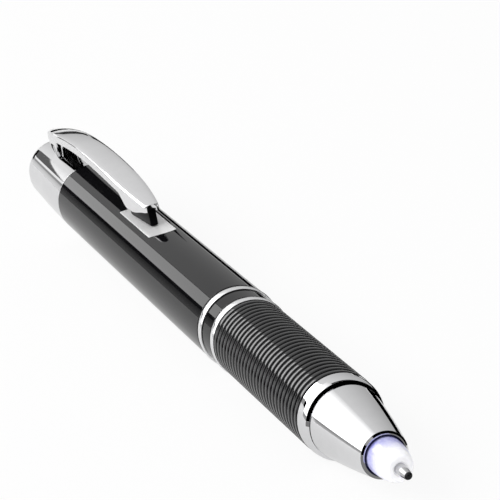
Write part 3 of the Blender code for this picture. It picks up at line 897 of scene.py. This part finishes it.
@dataclass
class Nose(SubAssembly):
    """The chrome nose cone with its collar, and the milky lens in its mouth."""

    rim: float = 7.0
    rim_radius: float = 2.83
    rim_lip: float = 2.62
    rim_bevel: float = 0.24
    rim_round: float = 0.05
    cone_back: float = 18.5
    cone_radius: float = 4.58
    swell: float = 0.40
    cone_steps: int = 16
    groove_radius: float = 4.38
    collar_front: float = 18.85
    collar_front_radius: float = 4.59
    collar_full: float = 20.55
    collar_radius: float = 5.14
    collar_steps: int = 10
    collar_back: float = 21.45
    collar_edge: float = 0.12
    chamfer_end: float = 37.0
    chamfer_round: float = 0.05
    spigot_radius: float = 4.30
    spigot_back: float = 27.4
    spigot_bore: float = 3.35
    shoulder: float = 14.2
    bore: float = 2.5
    edge_round: float = 0.1
    lens_front: float = 2.5
    lens_front_radius: float = 1.30
    lens_radius: float = 2.27
    lens_steps: int = 20
    lens_hold: float = 7.5
    lens_neck: float = 2.24
    lens_neck_front: float = 7.9
    flange_front: float = 14.5
    flange_back: float = 16.0
    flange_radius: float = 3.15
    point_hole: float = 0.75
    hole_bevel: Point = (0.12, 0.15)
    rear_hole: float = 1.45
    rear_hole_front: float = 6.9
    funnel_front: float = 6.6

    def build(self) -> None:
        """Models the nose cone and the lens."""
        made = Bench.turned("nose", rounded(self.cone() + self.collar()))
        self.fit(made, Body.LOWER, Slot.CHROME, CHROME, "nose_cone")
        dome = quarter((self.lens_front, self.lens_front_radius), (self.rim, self.lens_radius), self.lens_steps)
        outline = rounded([
            (self.lens_front + self.hole_bevel[0], self.point_hole),
            (self.lens_front, self.point_hole + self.hole_bevel[1]), *dome,
            (self.lens_hold, self.lens_radius), (self.lens_neck_front, self.lens_neck),
            (self.flange_front, self.lens_neck), (self.flange_front, self.flange_radius, self.edge_round),
            (self.flange_back, self.flange_radius, self.edge_round), (self.flange_back, self.rear_hole),
            (self.rear_hole_front, self.rear_hole), (self.funnel_front, self.point_hole)])
        self.fit(Bench.turned("lens", outline), Body.LOWER, Slot.FROSTED, FROSTED, "light_guide")

    def cone(self) -> list[Corner]:
        """Draws the cone's outside, which swells a little between its rim and its back.

        Returns:
            The corners, front to back.
        """
        length, rise = self.cone_back - self.rim, self.cone_radius - self.rim_radius
        lean = (rise + self.swell) / length
        corners: list[Corner] = [
            (self.rim, self.rim_lip),
            (self.rim + self.rim_bevel, self.rim_radius + lean * self.rim_bevel, self.rim_round)]
        for step in range(1, self.cone_steps + 1):
            share = step / self.cone_steps
            radius = self.rim_radius + rise * share + self.swell * share * (1.0 - share)
            corners.append((self.rim + length * share, radius))
        return corners

    def collar(self) -> list[Corner]:
        """Draws the groove behind the cone, the collar with its chamfer, the spigot and the bore.

        Returns:
            The corners, front to back and then forward along the bore.
        """
        front = (self.collar_front, self.collar_front_radius)
        first, *curve = quarter(
            front, (self.collar_full, self.collar_radius), self.collar_steps, self.chamfer_end)
        return [
            (self.cone_back, self.groove_radius), (self.collar_front, self.groove_radius), front,
            (*first, self.chamfer_round), *curve,
            (self.collar_back, self.collar_radius, self.collar_edge), (self.collar_back, self.spigot_radius),
            (self.spigot_back, self.spigot_radius, self.edge_round), (self.spigot_back, self.spigot_bore),
            (self.shoulder, self.spigot_bore), (self.shoulder, self.bore), (self.rim, self.bore)]


@dataclass
class Grip(SubAssembly):
    """The ribbed grip, the lower trim ring and the black band."""

    front: float = 21.5
    back: float = 51.8
    ribs: int = 27
    crest: float = 5.19
    depth: float = 0.32
    bore: float = 4.5
    rib_steps: int = 16
    rib_flat: float = 0.5
    rib_crown: float = 0.07
    rib_power: float = 1.3
    ring_front: float = 51.86
    ring_back: float = 53.14
    ring_radius: float = 5.32
    band_front: float = 53.2
    band_back: float = 56.2
    band_radius: float = 5.22
    band_round: float = 0.12

    def build(self) -> None:
        """Models the grip, the ring and the band."""
        pitch = (self.back - self.front) / self.ribs
        fall = self.depth - self.rib_crown
        outline: list[Point] = []
        for rib in range(self.ribs):
            for step in range(self.rib_steps):
                share = 2.0 * step / self.rib_steps - 1.0
                steep = max(0.0, (abs(share) - self.rib_flat) / (1.0 - self.rib_flat))
                drop = self.rib_crown * share * share + fall * steep ** self.rib_power
                outline.append((self.front + (rib + step / self.rib_steps) * pitch, self.crest - drop))
        outline += [(self.back, self.crest - self.depth), (self.back, self.bore), (self.front, self.bore)]
        self.fit(Bench.turned("ribbed_grip", outline), Body.LOWER, Slot.RUBBER, RUBBER, "grip")
        ring = Bench.trim_ring("lower_trim_ring", self.ring_front, self.ring_back, self.ring_radius, self.bore)
        self.fit(ring, Body.LOWER, Slot.CHROME, RING_CHROME, "lower_ring")
        band = rounded([
            (self.band_front, self.bore), (self.band_front, self.band_radius, self.band_round),
            (self.band_back, self.band_radius, self.band_round), (self.band_back, self.bore)])
        self.fit(Bench.turned("black_band", band), Body.LOWER, Slot.LACQUER, LACQUER, "centre_band")


@dataclass
class Barrel(SubAssembly):
    """The lacquered barrel, the upper trim ring and the inlay plate under the clip."""

    ring_front: float = 56.3
    ring_back: float = 57.64
    ring_radius: float = 5.47
    ring_bore: float = 5.1
    spigot_radius: float = 5.0
    spigot_round: float = 0.1
    front: float = 57.7
    back: float = 125.72
    radius: float = 5.41
    edge_round: float = 0.14
    bore: float = 4.5
    plate_front: float = 86.6
    plate_back: float = 100.7
    plate_lead: float = 1.8
    plate_half_width: float = 2.05
    plate_bow: float = 1.3
    plate_bow_steps: int = 10
    plate_height: float = 5.12
    plate_curve: float = 40.0
    plate_thickness: float = 0.45
    plate_corner: float = 0.22
    plate_cuts: int = 17
    plate_bevel: float = 0.05
    plate_sharp: float = math.radians(50.0)
    pocket_margin: float = 0.05
    pocket_rise: float = 0.6
    same_side: float = 0.000002

    def build(self) -> None:
        """Models the barrel with its pocket, the ring and the plate."""
        outline = rounded([
            (self.ring_front, self.bore), (self.ring_front, self.spigot_radius, self.spigot_round),
            (self.front, self.spigot_radius), (self.front, self.radius, self.edge_round),
            (self.plate_front - self.plate_lead, self.radius), (self.plate_back + self.plate_lead, self.radius),
            (self.back, self.radius, self.edge_round), (self.back, self.bore)])
        barrel = Bench.turned("lacquered_barrel", outline)
        depth = self.plate_thickness + self.pocket_margin + self.pocket_rise
        Bench.cut(barrel, self.curved_plate("pocket", self.pocket_margin, depth, self.pocket_rise))
        self.fit(barrel, Body.UPPER, Slot.LACQUER, LACQUER, "barrel")
        ring = Bench.trim_ring(
            "upper_trim_ring", self.ring_front, self.ring_back, self.ring_radius, self.ring_bore)
        self.fit(ring, Body.UPPER, Slot.CHROME, RING_CHROME, "upper_ring")
        plate = self.curved_plate("plate", 0.0, self.plate_thickness, 0.0)
        step = plate.modifiers.new("edges", "BEVEL")
        step.width = self.plate_bevel * MM
        step.segments = BEVEL_SEGMENTS
        step.limit_method = "ANGLE"
        step.angle_limit = self.plate_sharp
        Bench.apply(plate)
        self.fit(plate, Body.UPPER, Slot.CHROME, PLATE_SATIN, "inlay_plate")

    def curved_plate(self, name: str, margin: float, thickness: float, rise: float) -> Piece:
        """Makes a plate with rounded corners, a bowed front edge and a faint curve across.

        Args:
            name: Name of the new object.
            margin: How far it reaches past the inlay plate all round.
            thickness: How thick it is.
            rise: How far its outer face stands above the plate's.

        Returns:
            The plate.
        """
        half = self.plate_half_width + margin
        corner = self.plate_corner + margin
        front, back = self.plate_front - margin, self.plate_back + margin
        bow: list[Corner] = []
        for step in range(1, self.plate_bow_steps):
            share = 1.0 - 2.0 * step / self.plate_bow_steps
            bow.append((front - self.plate_bow * (1.0 - share * share), half * share))
        outline = rounded([
            (front, -half, corner), (back, -half, corner), (back, half, corner), (front, half, corner), *bow])
        made = Bench.trace(name, [spot(station, 0.0, side) for station, side in outline])
        bpy.ops.mesh.edge_face_add()
        for cut in range(1, self.plate_cuts):
            side = half * (2.0 * cut / self.plate_cuts - 1.0)
            bpy.ops.mesh.select_all(action="SELECT")
            bpy.ops.mesh.bisect(plane_co=spot(0.0, 0.0, side), plane_no=(0.0, 1.0, 0.0))
        shape = bmesh.from_edit_mesh(made.data)
        sides: list[float] = []
        for value in sorted(vertex.co.y for vertex in shape.verts):
            if not sides or value - sides[-1] > self.same_side:
                sides.append(value)
        centre = self.plate_height + rise - self.plate_curve
        for side in sides:
            Bench.pick(lambda vertex, wanted=side: 0.0 <= vertex.co.y - wanted <= self.same_side)
            height = centre + math.sqrt(self.plate_curve ** 2 - (side / MM) ** 2)
            bpy.ops.transform.translate(value=(0.0, 0.0, height * MM))
        bpy.ops.mesh.select_all(action="SELECT")
        bpy.ops.mesh.normals_make_consistent(inside=False)
        bpy.ops.object.mode_set(mode="OBJECT")
        if sum(face.normal.z for face in made.data.polygons) < 0.0:
            made.data.flip_normals()
        step = made.modifiers.new("thickness", "SOLIDIFY")
        step.thickness = thickness * MM
        step.offset = -1.0
        Bench.apply(made)
        return made


@dataclass
class Cap(SubAssembly):
    """The chrome rear cap with its clip slot, and the push button in its end."""

    spigot_front: float = 122.3
    spigot_radius: float = 4.3
    front: float = 125.78
    front_round: float = 0.04
    back: float = 146.9
    radius: float = 5.41
    taper: float = 0.016
    taper_gain: float = 0.0006
    skin_step: float = 1.0
    end_round: float = 1.6
    bore: float = 3.15
    bore_back: float = 142.5
    button_hole: float = 2.5
    hole_round: float = 0.12
    slot_half_length: float = 1.6
    slot_half_width: float = 1.4
    slot_floor: float = 3.45
    slot_top: float = 10.82
    pin_station: float = 135.5
    rod_front: float = 133.1
    rod_radius: float = 1.0
    flange_front: float = 141.0
    flange_back: float = 142.2
    flange_radius: float = 2.95
    edge_round: float = 0.1
    button_radius: float = 2.3
    button_end: float = 147.7
    button_round: float = 0.4
    dish_floor: float = 147.54
    dish_radius: float = 1.5
    dish_floor_radius: float = 1.1

    def skin(self, station: float) -> float:
        """Returns the cap's radius at a station: it tapers a little toward its end."""
        along = station - self.front
        return self.radius - self.taper * along - self.taper_gain * along * along

    def build(self) -> None:
        """Models the cap and the button."""
        outline: list[Corner] = [
            (self.spigot_front, self.bore), (self.spigot_front, self.spigot_radius, self.edge_round),
            (self.front, self.spigot_radius), (self.front, self.radius, self.front_round)]
        station = self.front + self.skin_step
        while station < self.back - self.end_round - self.skin_step:
            outline.append((station, self.skin(station)))
            station += self.skin_step
        outline += [
            (self.back, self.skin(self.back), self.end_round), (self.back, self.button_hole, self.hole_round),
            (self.bore_back, self.button_hole), (self.bore_back, self.bore)]
        cap = Bench.turned("chrome_cap", rounded(outline))
        low = spot(self.pin_station + self.slot_half_length, self.slot_floor, -self.slot_half_width)
        high = spot(self.pin_station - self.slot_half_length, self.slot_top, self.slot_half_width)
        Bench.cut(cap, Bench.block("slot", low, high))
        self.fit(cap, Body.UPPER, Slot.CHROME, CHROME, "rear_cap")
        outline = rounded([
            (self.rod_front, 0.0), (self.rod_front, self.rod_radius, self.edge_round),
            (self.flange_front, self.rod_radius, self.edge_round),
            (self.flange_front, self.flange_radius, self.edge_round),
            (self.flange_back, self.flange_radius, self.edge_round), (self.flange_back, self.button_radius),
            (self.button_end, self.button_radius, self.button_round),
            (self.button_end, self.dish_radius, self.edge_round),
            (self.dish_floor, self.dish_floor_radius, self.edge_round), (self.dish_floor, 0.0)])
        self.fit(Bench.turned("push_button", outline), Body.BUTTON, Slot.CHROME, CHROME, "light_button")


@dataclass
class Clip(SubAssembly):
    """The arched clip: a chrome channel with a foot at its free end and a tongue in the cap.

    A run of sections is given by its first station, their spacing and their number. The edge's points are
    given as a share of half the width and a drop below the top.
    """

    cap: Cap = field(default_factory=Cap)
    front: float = 89.5
    back: float = 143.6
    tip_height: float = 8.35
    crown_height: float = 10.3
    root_height: float = 7.1
    crown_share: float = 0.49
    half_width: float = 2.05
    tip_half_width: float = 1.1
    root_half_width: float = 0.9
    width_power: int = 4
    tip_round: float = 0.55
    root_round: float = 0.8
    end_narrowing: float = 0.75
    crown: float = 0.16
    crown_shares: tuple[float, ...] = (-0.75, -0.5, -0.25, 0.0, 0.25, 0.5, 0.75)
    edge: tuple[Point, ...] = ((1.0, 0.30), (0.985, 0.17), (0.94, 0.06), (0.87, 0.01))
    sheet: float = 0.5
    roof_least: float = 0.05
    wall_share: float = 0.22
    wall_depth: float = 1.2
    nose_depth: float = 0.85
    foot_height: float = 6.6
    foot_down: Point = (89.3, 95.0)
    foot_up: Point = (96.6, 99.9)
    crown_start: float = 110.0
    root_span: Point = (133.9, 135.2)
    seat_gap: float = 0.06
    flex_room: float = 0.071
    end_steps: tuple[float, ...] = (0.0, 0.04, 0.12, 0.24, 0.4, 0.6, 0.85)
    runs: tuple[tuple[float, float, int], ...] = ((90.7, 0.4, 23), (100.0, 1.5, 23), (133.8, 0.25, 36))
    low_band: float = 0.02
    tongue_half_width: float = 1.2
    tongue_half_length: float = 1.3
    tongue_low: float = 3.7
    tongue_drop: float = 0.6
    tongue_bevel: float = 0.12
    pad_front: float = 89.9
    pad_back: float = 97.6
    pad_low: float = 5.24
    pad_high: float = 7.9
    pad_half_width: float = 1.2
    pad_taper: float = 0.48
    pad_round: float = 0.25
    # Station behind which the clip's inner and downward faces get painted shade.
    shade_front: float = 106.0
    inward_least: float = 0.5

    def height(self, station: float) -> float:
        """Measures the arch.

        Args:
            station: Where along the pen.

        Returns:
            The height of the top's edges.
        """
        share = (station - self.front) / (self.back - self.front)
        if share < self.crown_share:
            end, rest = self.tip_height, 1.0 - share / self.crown_share
        else:
            end, rest = self.root_height, (share - self.crown_share) / (1.0 - self.crown_share)
        return self.crown_height - (self.crown_height - end) * rest ** 2

    def half(self, station: float) -> float:
        """Measures the clip's width, with its ends rounded in plan.

        Args:
            station: Where along the pen.

        Returns:
            Half the width.
        """
        middle = 2.0 * (station - self.front) / (self.back - self.front) - 1.0
        tip, root = (self.tip_half_width, self.tip_round), (self.root_half_width, self.root_round)
        end, radius = tip if middle < 0.0 else root
        plain = end + (self.half_width - end) * (1.0 - abs(middle) ** self.width_power)
        reach = min(station - self.front, self.back - station)
        if reach >= radius:
            return plain
        return plain - radius * (1.0 - math.sqrt(1.0 - (1.0 - reach / radius) ** 2)) * self.end_narrowing

    def low(self, station: float) -> float:
        """Measures the side walls: deep at the foot, and at the root down to the cap.

        Args:
            station: Where along the pen.

        Returns:
            The height of their lower edges.
        """
        plain = self.height(station) - self.wall_depth
        if station < self.crown_start:
            nose = self.tip_height - self.nose_depth
            down = nose + (self.foot_height - nose) * ease(station, self.foot_down)
            return down + (plain - self.foot_height) * ease(station, self.foot_up)
        skin = self.cap.skin(station)
        side = self.half(station) * (1.0 - self.wall_share)
        seat = math.sqrt(skin * skin - side * side) + self.seat_gap
        seat += self.flex_room * max(0.0, station - self.cap.pin_station)
        return plain + (seat - plain) * ease(station, self.root_span)

    def section(self, station: float) -> list[Vector]:
        """Draws the channel's section.

        Args:
            station: Where along the pen.

        Returns:
            Its points in metres, from one wall's foot over the top and back along the inside.
        """
        half, top, low = self.half(station), self.height(station), self.low(station)
        inner = 1.0 - self.wall_share
        roof = max(low + self.roof_least, top - self.sheet)
        points = [(-1.0, low)] + [(-side, top - drop) for side, drop in self.edge]
        points += [(side, top + self.crown * (1.0 - side * side)) for side in self.crown_shares]
        points += [(side, top - drop) for side, drop in reversed(self.edge)]
        points += [(1.0, low), (inner, low), (inner, roof), (-inner, roof), (-inner, low)]
        return [spot(station, height, side * half) for side, height in points]

    def stations(self) -> list[float]:
        """Lists the sections, which are close together at the foot and the root.

        Returns:
            Their stations, front to back.
        """
        tip = [self.front + step for step in self.end_steps]
        middle = [first + spacing * step for first, spacing, count in self.runs for step in range(count)]
        return tip + middle + [self.back - step for step in reversed(self.end_steps)]

    def build(self) -> None:
        """Models the channel section by section, then adds the tongue and the pad of the foot."""
        stations = self.stations()
        made = Bench.trace("arched_clip", self.section(stations[0]))
        bpy.ops.mesh.edge_face_add()
        for here, after in zip(stations, stations[1:]):
            bpy.ops.mesh.extrude_region_move(TRANSFORM_OT_translate={"value": spot(after) - spot(here)})
            self.reshape(here, after)
        Bench.finish(made)
        # Painted shade on the faces in the channel and under it.
        self.mark_painted_shade(made)
        pin = self.cap.pin_station
        low = spot(pin + self.tongue_half_length, self.tongue_low, -self.tongue_half_width)
        top = self.height(pin) - self.tongue_drop
        high = spot(pin - self.tongue_half_length, top, self.tongue_half_width)
        Bench.join(made, Bench.block("tongue", low, high, self.tongue_bevel))
        Bench.join(made, self.pad())
        self.fit(made, Body.CLIP, Slot.CHROME, LIT_CLIP_CHROME, "clip")

    def pad(self) -> Piece:
        """Makes the pad of the foot, which narrows toward the tip.

        Returns:
            The pad.
        """
        low = spot(self.pad_back, self.pad_low, -self.pad_half_width)
        high = spot(self.pad_front, self.pad_high, self.pad_half_width)
        made = Bench.block("pad", low, high, self.pad_round)
        Bench.edit()
        Bench.pick(lambda vertex: vertex.co.x > (low.x + high.x) / 2.0)
        bpy.ops.transform.resize(value=(1.0, self.pad_taper, 1.0), center_override=spot(self.pad_front))
        Bench.finish(made)
        # The whole pad gets painted shade.
        self.mark_painted_shade(made, True)
        return made

    def mark_painted_shade(self, made: Piece, whole: bool = False) -> None:
        """Marks where shade is painted: faces behind the foot that lie in the channel or look down.

        Args:
            made: The channel or a piece inside it, with its faces turned outward.
            whole: Whether every face lies inside and gets the painted shade.
        """
        mask = made.data.attributes.new(LIT_CLIP_CHROME.inside, "FLOAT", "FACE")
        behind = spot(self.shade_front).x
        for face in made.data.polygons:
            inward = face.normal.y * face.center.y < -self.inward_least * abs(face.center.y)
            hidden = (inward or face.normal.z < -self.inward_least) and face.center.x < behind
            mask.data[face.index].value = float(whole or hidden)

    def reshape(self, here: float, after: float) -> None:
        """Moves the ring that was just extruded to its own section: height, width, then its walls' depth.

        Args:
            here: Station of the ring before it.
            after: Station of this ring.
        """
        top = self.height(after)
        rise = top - self.height(here)
        bpy.ops.transform.translate(value=(0.0, 0.0, rise * MM))
        wider = self.half(after) / self.half(here)
        bpy.ops.transform.resize(value=(1.0, wider, 1.0), center_override=spot(after, top))
        ring = Bench.chosen()
        moved = self.low(here) + rise
        low = spot(after, moved).z + self.low_band * MM
        Bench.pick(lambda vertex: vertex.index in ring and vertex.co.z < low)
        bpy.ops.transform.translate(value=(0.0, 0.0, (self.low(after) - moved) * MM))
        Bench.pick(lambda vertex: vertex.index in ring)


@dataclass
class Spring(SubAssembly):
    """A coil spring on the pen's axis, with a closed turn at each end."""

    name: str
    node: str
    front: float
    back: float
    open_turns: int
    joint: str = ""
    travel: float = 0.0
    radius: float = 2.2
    wire: float = 0.2
    closed_rise: float = 0.42
    wire_sides: int = 12
    turn_steps: int = 30

    def build(self) -> None:
        """Winds the wire, and gives the coil a mesh of its own where a joint presses it."""
        first = self.front + self.wire
        ring = []
        for side in range(self.wire_sides):
            angle = math.tau * side / self.wire_sides
            ring.append(spot(first + self.wire * math.cos(angle), self.radius + self.wire * math.sin(angle)))
        made = Bench.trace(self.name, ring)
        bpy.ops.mesh.edge_face_add()
        length = self.back - self.front - 2.0 * (self.wire + self.closed_rise)
        rises = [self.closed_rise] + [length / self.open_turns] * self.open_turns + [self.closed_rise]
        turn = math.tau / self.turn_steps
        for rise in rises:
            step = spot(rise / self.turn_steps) - spot(0.0)
            for _ in range(self.turn_steps):
                bpy.ops.mesh.extrude_region_move(TRANSFORM_OT_translate={"value": step})
                bpy.ops.transform.rotate(value=turn, orient_axis="X", center_override=spot(0.0))
        Bench.finish(made)
        self.fit(made, Body.UPPER, Slot.STEEL, STEEL, self.node)
        if self.joint:
            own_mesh(made)


@dataclass
class Interior(SubAssembly):
    """The inner pieces, which keep their CAD shape and get their finishes."""

    finishes: dict[str, Finish] = field(default_factory=lambda: {
        "liner": WHITE_PLASTIC, "cam_sleeve": WHITE_PLASTIC, "refill_carrier": WHITE_PLASTIC,
        "battery_sleeve": WHITE_PLASTIC, "clip_pin": STEEL, "follower_pin": STEEL, "retaining_ring": STEEL,
        "cell_1": STEEL, "cell_2": STEEL, "cell_3": STEEL, "guide_tube": BRASS, "slip_contact": BRASS,
        "contact_rod": BRASS, "battery_stop": BRASS, "refill_tube": BRASS, "switch_housing": BLACK_PLASTIC,
        "led_board": BOARD, "led_left": RED_LED, "led_right": RED_LED})

    def build(self) -> None:
        """Gives each inner piece its finish."""
        for name, finish in self.finishes.items():
            finish.cover(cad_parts[name])
            LOG.info("%s: CAD shape in %s", name, finish.name)


@dataclass(frozen=True)
class Card:
    """A bent card beside the pen that only reflections see.

    Its ends are given in metres along X, and its edges in degrees round the pen's line, from straight up
    toward +Y. Its light runs from one level at its low edge to another at its high edge.
    """

    name: str
    front: float
    back: float
    low: float
    high: float
    level_low: float
    level_high: float
    radius: float = 0.60
    skew: float = 0.0
    steps: int = 24

    def build(self) -> Piece:
        """Bends the card round the pen's line, and turns its back end by the skew.

        Returns:
            The card.
        """
        axis = AXIS_HEIGHT * MM
        low, high = math.radians(self.low), math.radians(self.high)
        edge = (self.radius * math.sin(low), axis + self.radius * math.cos(low))
        made = Bench.trace(self.name, [Vector((along, *edge)) for along in (self.front, self.back)], False)
        bpy.ops.mesh.spin(steps=self.steps, angle=high - low, center=(0.0, 0.0, axis), axis=ALONG)
        if self.skew:
            Bench.pick(lambda vertex: vertex.co.x < (self.front + self.back) / 2.0)
            bpy.ops.transform.rotate(
                value=math.radians(self.skew), orient_axis="X", center_override=(0.0, 0.0, axis))
        bpy.ops.object.mode_set(mode="OBJECT")
        surface, tree = bare_material(self.name)
        _, side, up = tree.axes(tree.add("ShaderNodeTexCoord", {}).outputs["Object"])
        angle = tree.math("ARCTAN2", side, tree.math("SUBTRACT", up, axis))
        level = tree.span(angle, (low, high), (self.level_low, self.level_high))
        tree.add("ShaderNodeOutputMaterial", {"Surface": tree.glow(level)})
        made.data.materials.append(surface)
        return made


@dataclass(frozen=True)
class Panel:
    """A flat card between two corners, in metres, that only reflections see."""

    name: str
    low: Place
    high: Place
    level: float = 0.0

    def build(self) -> Piece:
        """Makes the panel.

        Returns:
            The panel.
        """
        made = Bench.block(self.name, Vector(self.low), Vector(self.high))
        surface, tree = bare_material(self.name)
        tree.add("ShaderNodeOutputMaterial", {"Surface": tree.glow(self.level)})
        made.data.materials.append(surface)
        return made


CARDS = (
    Card("dark_dome", 0.50, -6.0, -90.0, 93.0, 0.0, 0.0, 0.66, steps=60),
    Card("far_low_card", -1.16, -1.69, -90.0, -69.0, 0.40, 0.12),
    Card("far_strip", -1.16, -1.69, -59.0, -27.0, 2.5, 2.5),
    Card("middle_low_card", -0.64, -1.16, -90.0, -75.0, 0.95, 0.80),
    Card("collar_fill", -0.98, -1.11, -75.0, -61.0, 0.35, 0.35, 0.59),
    Card("middle_strip", -0.64, -1.16, -61.0, -8.0, 5.0, 5.0),
    Card("fore_card", 2.0, 0.44, -86.0, 93.0, 0.16, 0.90, steps=48),
    Card("upper_card_1", 0.26, -0.10, -84.0, 17.0, 0.75, 0.55, 0.61, steps=32),
    Card("upper_card_2", 0.20, -0.10, 17.0, 35.0, 0.55, 0.515, 0.61),
    Card("upper_card_3", 0.145, -0.10, 35.0, 52.0, 0.515, 0.48, 0.61),
    Card("upper_card_4", 0.07, -0.10, 52.0, 70.0, 0.48, 0.445, 0.61),
    Card("upper_card_5", -0.04, -0.10, 70.0, 93.0, 0.445, 0.40, 0.61),
    Card("side_strip", 0.02, -0.05, -52.0, -34.0, 1.5, 1.5, 0.605),
    Card("near_low_card", -0.05, -0.64, -90.0, -81.0, 0.50, 0.22),
    Card("near_strip", -0.05, -0.64, -81.0, -12.0, 2.0, 2.0),
    Card("near_fade", -0.05, -0.64, -12.0, 4.0, 1.35, 0.80),
    Card("side_panel", -0.28, -6.0, -26.0, 92.0, 0.85, 0.42, 0.62, steps=48),
    Card("cap_low_card", -1.69, -3.0, -90.0, -73.0, 0.80, 0.57),
    Card("cap_dark_line", -1.69, -3.0, -73.0, -65.0, 0.33, 0.33),
    Card("cap_white_line", -1.69, -3.0, -65.0, -57.0, 0.95, 0.95),
    Card("cap_gap", -1.69, -3.0, -57.0, -25.0, 0.12, 0.12, 0.63),
    Card("cap_strip", -1.66, -2.02, -62.0, -24.0, 1.25, 0.85, 0.59, skew=36.0),
    Card("horizon_card", -2.2, -5.0, 74.0, 91.0, 0.03, 0.03))
PANELS = (
    Panel("front_card", (0.45, -0.3, 0.02), (0.451, 0.36, 0.36)),
    Panel("nose_card", (0.030, 0.015, 0.0014), (0.075, 0.0152, 0.0079)),
    Panel("barrel_card", (-0.20, 0.015, 0.0045), (0.030, 0.0152, 0.0090)),
    Panel("clip_card", (-0.22, 0.05, 0.010), (-0.13, 0.0502, 0.034)),
    Panel("rim_card", (0.0650, -0.6, 0.0004), (0.45, 0.6, 0.0006), 0.22))


@dataclass
class Studio:
    """The floor, the light tent's cards and panels, the lamp, the world and the camera."""

    floor_size: float = 12.0
    floor_grey: float = 0.9
    floor_seen: float = 0.92
    floor_mirrored: float = 0.45
    floor_mirrored_light: float = 0.7
    lamp_radius: float = 0.6
    lamp_angle: float = math.radians(-42.0)
    lamp_along: float = -0.3
    lamp_size: Point = (1.6, 0.34)
    lamp_power: float = 5.0
    world_light: float = 0.45
    camera_place: Place = (0.3179795, -0.0805120, 0.1248367)
    camera_right: Place = (0.328146, 0.924861, -0.192232)
    camera_up: Place = (-0.257447, 0.283358, 0.923812)
    camera_forward: Place = (-0.908868, 0.253656, -0.331085)
    focal_length: float = 187.2
    sensor: float = 36.0
    nearest: float = 0.01

    def build(self) -> None:
        """Sets up the whole studio."""
        bpy.context.scene.view_settings.view_transform = "Standard"
        self.floor()
        for card in CARDS + PANELS:
            self.glossy_only(card.build())
        self.lamp()
        self.world()
        self.camera()

    def glossy_only(self, made: Piece) -> None:
        """Shows a card in reflections alone.

        Args:
            made: The card.
        """
        made.visible_camera = False
        made.visible_diffuse = False
        made.visible_transmission = False
        made.visible_volume_scatter = False
        made.visible_shadow = False

    def floor(self) -> None:
        """Lays the pale floor, which reads white and keeps a soft shadow."""
        Bench.clear()
        bpy.ops.mesh.primitive_plane_add(size=self.floor_size)
        made = bpy.context.object
        made.name = "floor"
        surface, tree = bare_material("pale_floor")
        rays = tree.add("ShaderNodeLightPath", {}).outputs
        seen = tree.math("MULTIPLY", rays["Is Camera Ray"], self.floor_seen)
        mirrored = tree.math("MULTIPLY", rays["Is Glossy Ray"], self.floor_mirrored)
        share = tree.math("MAXIMUM", seen, mirrored)
        grey = (self.floor_grey, self.floor_grey, self.floor_grey, 1.0)
        plain = tree.add("ShaderNodeBsdfDiffuse", {"Color": grey}).outputs[0]
        white = tree.glow(tree.span(rays["Is Glossy Ray"], UNIT, (1.0, self.floor_mirrored_light)))
        mixed = tree.add("ShaderNodeMixShader", {0: share, 1: plain, 2: white})
        tree.add("ShaderNodeOutputMaterial", {"Surface": mixed.outputs[0]})
        made.data.materials.append(surface)

    def lamp(self) -> None:
        """Hangs the strip lamp at the tent's bright strip."""
        lamp = bpy.data.lights.new("strip_lamp", "AREA")
        lamp.shape = "RECTANGLE"
        lamp.size, lamp.size_y = self.lamp_size
        lamp.energy = self.lamp_power
        made = bpy.data.objects.new("strip_lamp", lamp)
        bpy.context.scene.collection.objects.link(made)
        out = Vector((0.0, math.sin(self.lamp_angle), math.cos(self.lamp_angle)))
        made.location = out * self.lamp_radius + Vector((self.lamp_along, 0.0, AXIS_HEIGHT * MM))
        made.rotation_euler = (-self.lamp_angle, 0.0, 0.0)
        made.visible_glossy = False

    def world(self) -> None:
        """Makes the world white to the camera and in reflections, and a soft light elsewhere."""
        world = bpy.data.worlds.new("studio_world")
        bpy.context.scene.world = world
        world.use_nodes = True
        world.node_tree.nodes.clear()
        tree = Tree(world.node_tree)
        rays = tree.add("ShaderNodeLightPath", {}).outputs
        mirrored = tree.math("MAXIMUM", rays["Is Glossy Ray"], rays["Is Transmission Ray"])
        seen = tree.math("MAXIMUM", rays["Is Camera Ray"], mirrored)
        strength = tree.span(seen, UNIT, (self.world_light, 1.0))
        sky = tree.add("ShaderNodeBackground", {"Color": WHITE, "Strength": strength})
        tree.add("ShaderNodeOutputWorld", {"Surface": sky.outputs[0]})

    def camera(self) -> None:
        """Places the camera at the photograph's angle."""
        lens = bpy.data.cameras.new("camera")
        lens.lens = self.focal_length
        lens.sensor_width = self.sensor
        lens.clip_start = self.nearest
        made = bpy.data.objects.new("camera", lens)
        bpy.context.scene.collection.objects.link(made)
        right, up, back = Vector(self.camera_right), Vector(self.camera_up), -Vector(self.camera_forward)
        turn = Matrix((right, up, back)).transposed()
        made.matrix_world = Matrix.Translation(self.camera_place) @ turn.to_4x4()
        bpy.context.scene.camera = made


def main() -> None:
    """Builds and dresses every sub-assembly, then sets up the studio."""
    logging.basicConfig(level=logging.INFO, format="%(name)s %(message)s")
    assemblies = (
        WritingPoint(), Nose(), Grip(), Barrel(), Clip(), Cap(),
        Spring("battery_coil", "battery_spring", front=117.5, back=122.2, open_turns=3),
        Spring(
            "button_coil", "button_spring", front=131.1, back=140.9, open_turns=5, joint="button_press",
            travel=1.22),
        Interior())
    for assembly in assemblies:
        assembly.build()
    Studio().build()
    LOG.info("%d new pieces", sum(len(assembly.pieces) for assembly in assemblies))


if __name__ == "__main__":
    main()
